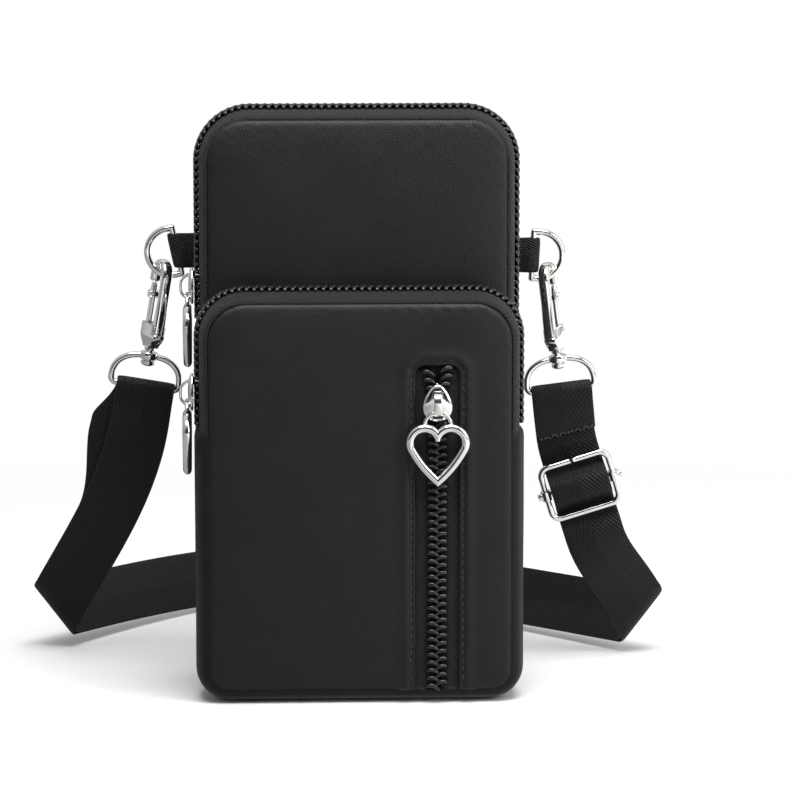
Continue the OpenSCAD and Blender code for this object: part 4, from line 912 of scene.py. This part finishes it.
# One line of the strap from the left loop's bar to the right one's: its two edges and its face at each step
def strapLine():
    firsts, seconds, faces = [], [], []

    def add(first, second, face):
        firsts.append(first)
        seconds.append(second)
        faces.append(face)

    def addRun(points, ways, sign):
        w = widthOf(ways) * strap["half"] * sign
        add(points - w, points + w, np.cross(w, ways) * sign)

    ends = {}
    for side, look in drops.items():
        sign = hangers[side]["sign"]
        top = leaning(sign * hangers[side]["lean"], hangers[side]["back"] / 3)
        low = leaning(look["lowOut"], look["lowBack"])
        c, s = turnOf(look["heading"])
        run = np.array([s, c, 0])
        fold = floorFold(np.array(look["fold"]), low, widthOf(low)[0], run, look["lift"])
        start = (fold[0][0] + fold[1][0]) / 2
        ends[side] = {"top": top, "low": low, "run": run, "fold": fold, "start": start}
    left, right = ends["left"], ends["right"]
    bar = bars["left"][0] + np.array([0.5, 0, 0])
    straight = strap["straight"]
    addRun(linePoints(bar, bar + left["top"] * straight, 9), np.repeat(left["top"][None], 9, axis=0), 1)
    start = bar + left["top"] * (straight + 1)
    curve = glide(start, left["top"], left["start"], left["low"], 90)
    addRun(curve[:-3], unit(np.gradient(curve, axis=0))[:-3], 1)
    add(*left["fold"])
    # The bow behind: a cubic curve, its width leaning in from upright towards its middle
    p0, p3 = [(e["fold"][0][-1] + e["fold"][1][-1]) / 2 for e in (left, right)]
    p1, p2 = p0 + left["run"] * strap["reach"], p3 + right["run"] * strap["reach"]
    t = np.linspace(0, 1, 200)[1:-1, None]
    bow = p0 * (1 - t) ** 3 + p1 * 3 * t * (1 - t) ** 2 + p2 * 3 * t ** 2 * (1 - t) + p3 * t ** 3
    way = unit(np.gradient(bow, axis=0))
    leftDown = unit(left["fold"][1][-1] - left["fold"][0][-1])
    rightDown = unit(right["fold"][0][-1] - right["fold"][1][-1])
    share = np.abs(2 * t - 1) ** 2
    lean = np.where(t < 0.5, leftDown, rightDown) * share + np.array([0, 0, -1.0]) * (1 - share)
    w = unit(lean - way * (lean * way).sum(axis=1, keepdims=True))
    stand = np.where(t < 0.5, drops["left"]["lift"], drops["right"]["lift"])[:, 0] * share[:, 0]
    bow[:, 2] = np.abs(w[:, 2]) * strap["half"] + 1.0 + stand
    add(bow - w * strap["half"], bow + w * strap["half"], np.cross(way, w))
    first, second, face = right["fold"]
    add(second[::-1], first[::-1], face[::-1])
    # Up the right side, through the adjuster and on to the loop
    rail = leaning(strap["railLean"], hangers["right"]["back"] * 2 / 3)
    lead = strap["railLead"]
    centre = bars["right"][1] + right["top"] * (strap["adjusterDrop"] - lead) + rail * lead
    railStart = centre + rail * lead
    curve = glide(right["start"], -right["low"], railStart + rail * 2, -rail, 60)
    addRun(curve[3:], -unit(np.gradient(curve, axis=0))[3:], -1)
    k = np.linspace(lead, -lead, 60)
    share = k / strap["adjusterHalf"]
    wave = strap["wave"] * (2 * ramp(np.abs(share), 0.3, 0.85) - 1) * (1 - ramp(np.abs(share), 1.3, 1.8))
    n = unit(np.cross(widthOf(rail)[0], rail))
    addRun(centre + rail * k[:, None] + n * wave[:, None], np.repeat(rail[None], 60, axis=0), -1)
    upper = linePoints(centre - rail * (lead + 1), bars["right"][0], 30)
    ways = unit(rail + (right["top"] - rail) * np.linspace(0, 1, 30)[:, None])
    addRun(upper, ways, -1)
    first, second, face = [np.concatenate(a) for a in (firsts, seconds, faces)]
    face = unit(face)
    for i in range(1, len(face)):
        if face[i] @ face[i - 1] < 0:
            face[i] = -face[i]
    return first, second, face, (centre, rail, n)


# Distances along a line of points
def runOf(line):
    return np.concatenate([[0], np.cumsum(np.linalg.norm(np.diff(line, axis=0), axis=1))])


# The line at even steps, smoothed by a Gaussian
def evened(first, second, face):
    s = runOf((first + second) / 2)
    keep = np.concatenate([[True], np.diff(s) > 1e-6])
    even = np.linspace(0, s[-1], int(s[-1] / strap["step"]) + 1)
    reach = int(3 * strap["soft"] / strap["step"])
    kernel = np.exp(-0.5 * (np.arange(-reach, reach + 1) * strap["step"] / strap["soft"]) ** 2)
    kernel /= kernel.sum()

    def smooth(a):
        a = np.stack([np.interp(even, s[keep], a[keep, i]) for i in range(3)], axis=1)
        padded = np.concatenate([2 * a[0] - a[reach:0:-1], a, 2 * a[-1] - a[-2:-reach - 2:-1]])
        return np.stack([np.convolve(padded[:, i], kernel, mode="valid") for i in range(3)], axis=1)

    return smooth(first), smooth(second), unit(smooth(face)), even


first, second, face, adjuster = strapLine()
first, second, face, s = evened(first, second, face)
middle, across = (first + second) / 2, (second - first) / 2
length = s[-1]
across = across * (1 - (1 - hangers["left"]["squeeze"]) * (1 - ramp(s, 4, 22)))[:, None]
near = strap["apart"] + (strap["barR"] - strap["apart"]) * (1 - ramp(s, 0, strap["merge"]))
far = length - s
crossing = ramp(far, strap["seam"] + 5, strap["seam"] + 12)
upperOut = strap["apart"] * 0.95 + (strap["barR"] - strap["apart"]) * (1 - ramp(far, 0, strap["merge"]))
frontOut = -near * crossing + upperOut * (1 - crossing)
# The rear layer strays sideways and back below the left loop
stray = ramp(s, 0, 14) * (1 - ramp(s, 18, 52))
rearMiddle = middle + face * (near + strap["strayBack"] * stray)[:, None] \
    - unit(across) * (strap["straySide"] * stray)[:, None]
rearEnd = np.searchsorted(-far, -(strap["adjusterDrop"] - 3 - gear["loopHigh"] + gear["cadLoop"]))
half = np.radians(np.linspace(0, 180, 15))[1:-1, None]


# The turn of the strap round a bar, from the face's side over the top to the other side
def wrapRound(i, way):
    up = unit(middle[i] - middle[i + way * 4])
    return up * np.sin(half) + face[i] * np.cos(half)


leftTurn, rightTurn = wrapRound(0, 1), wrapRound(-1, -1)
flapCount = int(strap["flap"] / strap["step"])
flap = slice(-1, -flapCount, -1)
flapOut = -upperOut[flap] - 0.15
places = np.concatenate([
    rearMiddle[:rearEnd][::-1], middle[0] + leftTurn * strap["barR"], middle + face * frontOut[:, None],
    middle[-1] + rightTurn * strap["barR"], middle[flap] + face[flap] * flapOut[:, None]])
halves = np.concatenate([across[:rearEnd][::-1], np.repeat(across[:1], len(half), axis=0), across,
                         np.repeat(across[-1:], len(half), axis=0), across[flap] * 1.02])
outs = np.concatenate([face[:rearEnd][::-1], leftTurn, -face, -rightTurn, face[flap]])
section = bandSection(1.0, strap["thick"] / 2)

# Slow cupping across the band, and a UV map whose lengths follow each edge
u = runOf(places)
cup = 0.18 * np.sin(u / 23) + 0.12 * np.sin(u / 8.7 + 1.1)
high = section[None, :, 1:] + (cup[:, None] * (1 - section[None, :, 0] ** 2))[..., None]
points = places[:, None] + halves[:, None] * section[None, :, :1] + outs[:, None] * high
rows, cols = points.shape[:2]
share = (section[:, 0] + 1) / 2
along = runOf(places - halves)[:, None] * (1 - share) + runOf(places + halves)[:, None] * share
uvs = np.stack([along, np.broadcast_to(section[:, 0] * strap["half"], along.shape)], axis=-1)
caps = [list(range(cols)), list(range((rows - 1) * cols, rows * cols))[::-1]]
piece = faceOut(makePiece("strap", points, gridFaces(rows, cols, False, True), uvs, extra=caps))
finishPiece(piece, webbing, "bag", ["strap_left_fold", "strap_left_drop", "strap_behind", "strap_right_drop",
                                    "strap_right_end", "strap_right_fold"])

# The seam of the flap: a rough zigzag of thick thread across it
i = len(middle) - 1 - int(strap["seam"] / strap["step"])
x = np.linspace(-0.94, 0.94, 15)
zig = 0.45 * np.where(np.arange(15) % 2, 1, -1) + 0.3 * np.sin(np.arange(15) * 2.3)
down = unit(middle[i - 5] - middle[i])
line = middle[i] + face[i] * (-strap["apart"] - 0.78) + across[i] * x[:, None] + down * zig[:, None]
stitches("strapSeam", line[:-1], line[1:], -face[i], 0.34)
print("strap made")


# The adjuster: a frame of round wire with a gap at its joint, and a middle bar with a collar on each rail
adjusterLook = {
    "half": 11.5, "high": 9.0, "wire": 1.05, "corner": 3.0, "split": 0.09, "collar": 1.8, "knob": 1.1,
}


def buildAdjuster(centre, rail, n):
    place = Place(centre, [unit(np.cross(n, -rail)), n, -rail])
    x, z, r, c = [adjusterLook[key] for key in ("half", "high", "wire", "corner")]
    split, near = adjusterLook["split"], c + 0.5
    path = np.concatenate([
        linePoints([-split, 0, z], [near - x, 0, z], 8), arcPoints(c - x, z - c, c, 90, 180, 10),
        linePoints([-x, 0, z - near], [-x, 0, near - z], 8), arcPoints(c - x, c - z, c, 180, 270, 10),
        linePoints([near - x, 0, -z], [x - near, 0, -z], 14), arcPoints(x - c, c - z, c, 270, 360, 10),
        linePoints([x, 0, near - z], [x, 0, z - near], 8), arcPoints(x - c, z - c, c, 0, 90, 10),
        linePoints([x - near, 0, z], [split, 0, z], 8)])
    piece = bent("adjusterFrame", place, path, roundSection(r, r * 0.95, 2.2, 18))
    plated(piece, "adjuster_frame", "adjuster_frame")
    profile = mirrored([(r * 0.8, x), (r, x - 0.5)])
    plated(turnedPiece("adjusterBar", place, 0, profile), "bag", "adjuster_bar")
    k = adjusterLook["collar"]
    end = x + k + adjusterLook["knob"]
    collar = mirrored([(k - 0.35, k), (k - 0.08, k - 0.2), (k, k - 0.6)])
    knob = [(0.95, x), (0.95, end - 0.9), (1.15, end - 0.7), (1.15, end - 0.25), (0.7, end)]
    for side, sign in (("Left", -1), ("Right", 1)):
        plated(turnedPiece(f"adjusterCollar{side}", place, 2, collar, (sign * x, 0, 0)), "bag")
        plated(turnedPiece(f"adjusterKnob{side}", place, 0, [(a, sign * b) for a, b in knob]), "bag")


buildAdjuster(*adjuster)


# A tab: webbing folded round a ring's bar and sewn into the side seam, with two rows of stitches
tabLook = {"half": 5.6, "apart": 0.62, "thick": 0.52, "root": 46.5, "rows": (51.2, 53.4)}


def buildTab(side, look):
    half, apart, ringX = tabLook["half"], tabLook["apart"], gear["ringX"]
    r = gear["ringWire"] / 2 + apart
    run = np.linspace(tabLook["root"], ringX - 1.2, 12)
    spread = apart + (r - apart) * ramp(run, ringX - 4.5, ringX - 0.2)
    t = np.radians(np.linspace(-80, 80, 13))
    x = np.concatenate([run, ringX + r * np.cos(t), run[::-1]])
    y = np.concatenate([-spread, r * np.sin(t), spread[::-1]])
    path = np.stack([x, gear["tabY"] + y, 0 * x + look["tab"]], axis=1)
    tilt = math.tan(math.radians(look["tilt"]))
    up = unit(np.stack([tilt * ramp(x, 50, ringX), 0 * x, 0 * x + 1], axis=1))
    out = unit(np.cross(unit(np.gradient(path, axis=0)), up))
    flip = np.array([look["sign"], 1, 1])
    piece = sweep(f"{side}Tab", path * flip, up * flip, out * flip, bandSection(half, tabLook["thick"]))
    finishPiece(piece, webbing, "bag", [f"tab_{side}"])
    y, reach = gear["tabY"] - 1.02, half * 0.86
    low, high = look["tab"] - reach, look["tab"] + reach
    runs = [stitchRun([[x, y, low], [x, y, high]], 1.5, 0.6) for x in tabLook["rows"]]
    starts, ends = [np.concatenate(a) * flip for a in zip(*runs)]
    stitches(f"{side}TabStitches", starts, ends, [0, -1, 0], 0.26)


for side, look in hangers.items():
    buildTab(side, look)
print("adjuster and tabs made")

# Floor and backdrop
stageLook = {
    "floor": (0.86, 0.86, 0.865), "reach": 3.0, "dim": 0.25, "rightGlow": 1.25, "farGlow": 0.6, "shine": 0.85,
}


def buildStage():
    r = stageLook["reach"]
    corners = np.array([[-1, -1, 0], [1, -1, 0], [1, 1, 0], [-1, 1, 0]]) * r / mm
    floor = makePiece("floor", corners, [[0, 1, 2, 3]])
    f = Finish("floorFinish", Roughness=0.6, Specular_IOR_Level=0.2)
    f.shader.inputs["Base Color"].default_value = (*stageLook["floor"], 1)
    x, y, _ = f.parts(f.node("ShaderNodeTexCoord").outputs["Object"])
    far = ((x * x * 0.8 + y * y) ** 0.5).over(0.16, 0.30)
    path = f.node("ShaderNodeLightPath")
    seen, glossy = [Value(f, path.outputs[f"Is {kind} Ray"]) for kind in ("Camera", "Glossy")]
    # In reflections the floor is dim in front of the bag and brighter on the right and further off
    dim = stageLook["dim"] + x.over(-0.08, 0.4) * stageLook["rightGlow"] \
        + (-1 * y).over(0.5, 0.9) * stageLook["farGlow"]
    glow = f.node("ShaderNodeEmission", None, {"Color": (1, 1, 1, 1), "Strength": seen + glossy * dim})
    share = (far * seen + glossy * stageLook["shine"]).clamp()
    mix = f.node("ShaderNodeMixShader", None, {0: share, 1: f.shader.outputs[0], 2: glow.outputs[0]})
    f.tree.links.new(mix.outputs[0], f.tree.nodes["Material Output"].inputs[0])
    floor.data.materials.append(f.material)


# White for the camera. For the rest it is bright at the sides, above and behind, and dark on the camera's side,
# so that bright metal keeps its dark bands.
def buildWorld():
    world = bpy.data.worlds.new("studio")
    bpy.context.scene.world = world
    world.use_nodes = True
    sky = Nodes(world.node_tree)
    x, y, z = sky.parts(sky.node("ShaderNodeTexCoord").outputs["Generated"])
    glow = 0.012 + x.over(0.55, 0.35) * 0.8 + (-1 * x).over(0.55, 0.35) * 0.3 + z.over(0.38, 0.45) * 0.55 \
        + y.over(0.2, 0.5) * 0.4
    seen = Value(sky, sky.node("ShaderNodeLightPath").outputs["Is Camera Ray"])
    strength = glow * (1 - seen) + seen
    sky.tree.links.new(strength.socket, world.node_tree.nodes["Background"].inputs["Strength"])
    world.node_tree.nodes["Background"].inputs["Color"].default_value = (1, 1, 1, 1)


# Soft boxes: place, size and power of each, all aimed at the middle of the bag
lamps = {
    "keyLeft": {"at": (-0.75, -0.65, 0.75), "size": (0.5, 0.9), "power": 0.3},
    "fillRight": {"at": (0.46, -0.30, 0.36), "size": (0.2, 0.4), "power": 1.25},
    "top": {"at": (0.05, -0.35, 1.15), "size": (0.8, 0.6), "power": 9.0},
    "topNear": {"at": (0.06, -0.24, 0.66), "size": (0.5, 0.3), "power": 2.4},
    "frontLow": {"at": (0.1, -1.2, 0.25), "size": (0.9, 0.35), "power": 0.12},
}


def aim(thing, place, target):
    z = unit(np.subtract(place, target))
    x = unit(np.cross([0, 0, 1.0], z))
    y = np.cross(z, x)
    m = np.eye(4)
    m[:3, 0], m[:3, 1], m[:3, 2], m[:3, 3] = x, y, z, place
    thing.matrix_world = Matrix(m.tolist())


def buildLamps():
    for name, look in lamps.items():
        light = bpy.data.lights.new(name, "AREA")
        light.shape = "RECTANGLE"
        light.size, light.size_y = look["size"]
        light.energy = look["power"]
        lamp = bpy.data.objects.new(name, light)
        bpy.context.scene.collection.objects.link(lamp)
        aim(lamp, look["at"], (0, -0.01, 0.09))


view = {
    "target": (0.0134, -0.0128, 0.0931), "elevation": 8.5, "azimuth": -2.4, "distance": 1.2, "lens": 169.3,
    "sensor": 36,
}


def buildCamera():
    e, a = math.radians(view["elevation"]), math.radians(view["azimuth"])
    away = np.array([math.cos(e) * math.sin(a), -math.cos(e) * math.cos(a), math.sin(e)])
    lens = bpy.data.cameras.new("camera")
    lens.lens = view["lens"]
    lens.sensor_width = view["sensor"]
    lens.clip_start = 0.01
    camera = bpy.data.objects.new("camera", lens)
    bpy.context.scene.collection.objects.link(camera)
    aim(camera, np.array(view["target"]) + away * view["distance"], view["target"])
    bpy.context.scene.camera = camera


buildStage()
buildWorld()
buildLamps()
buildCamera()
bpy.context.scene.view_settings.view_transform = "Standard"
print("stage made")
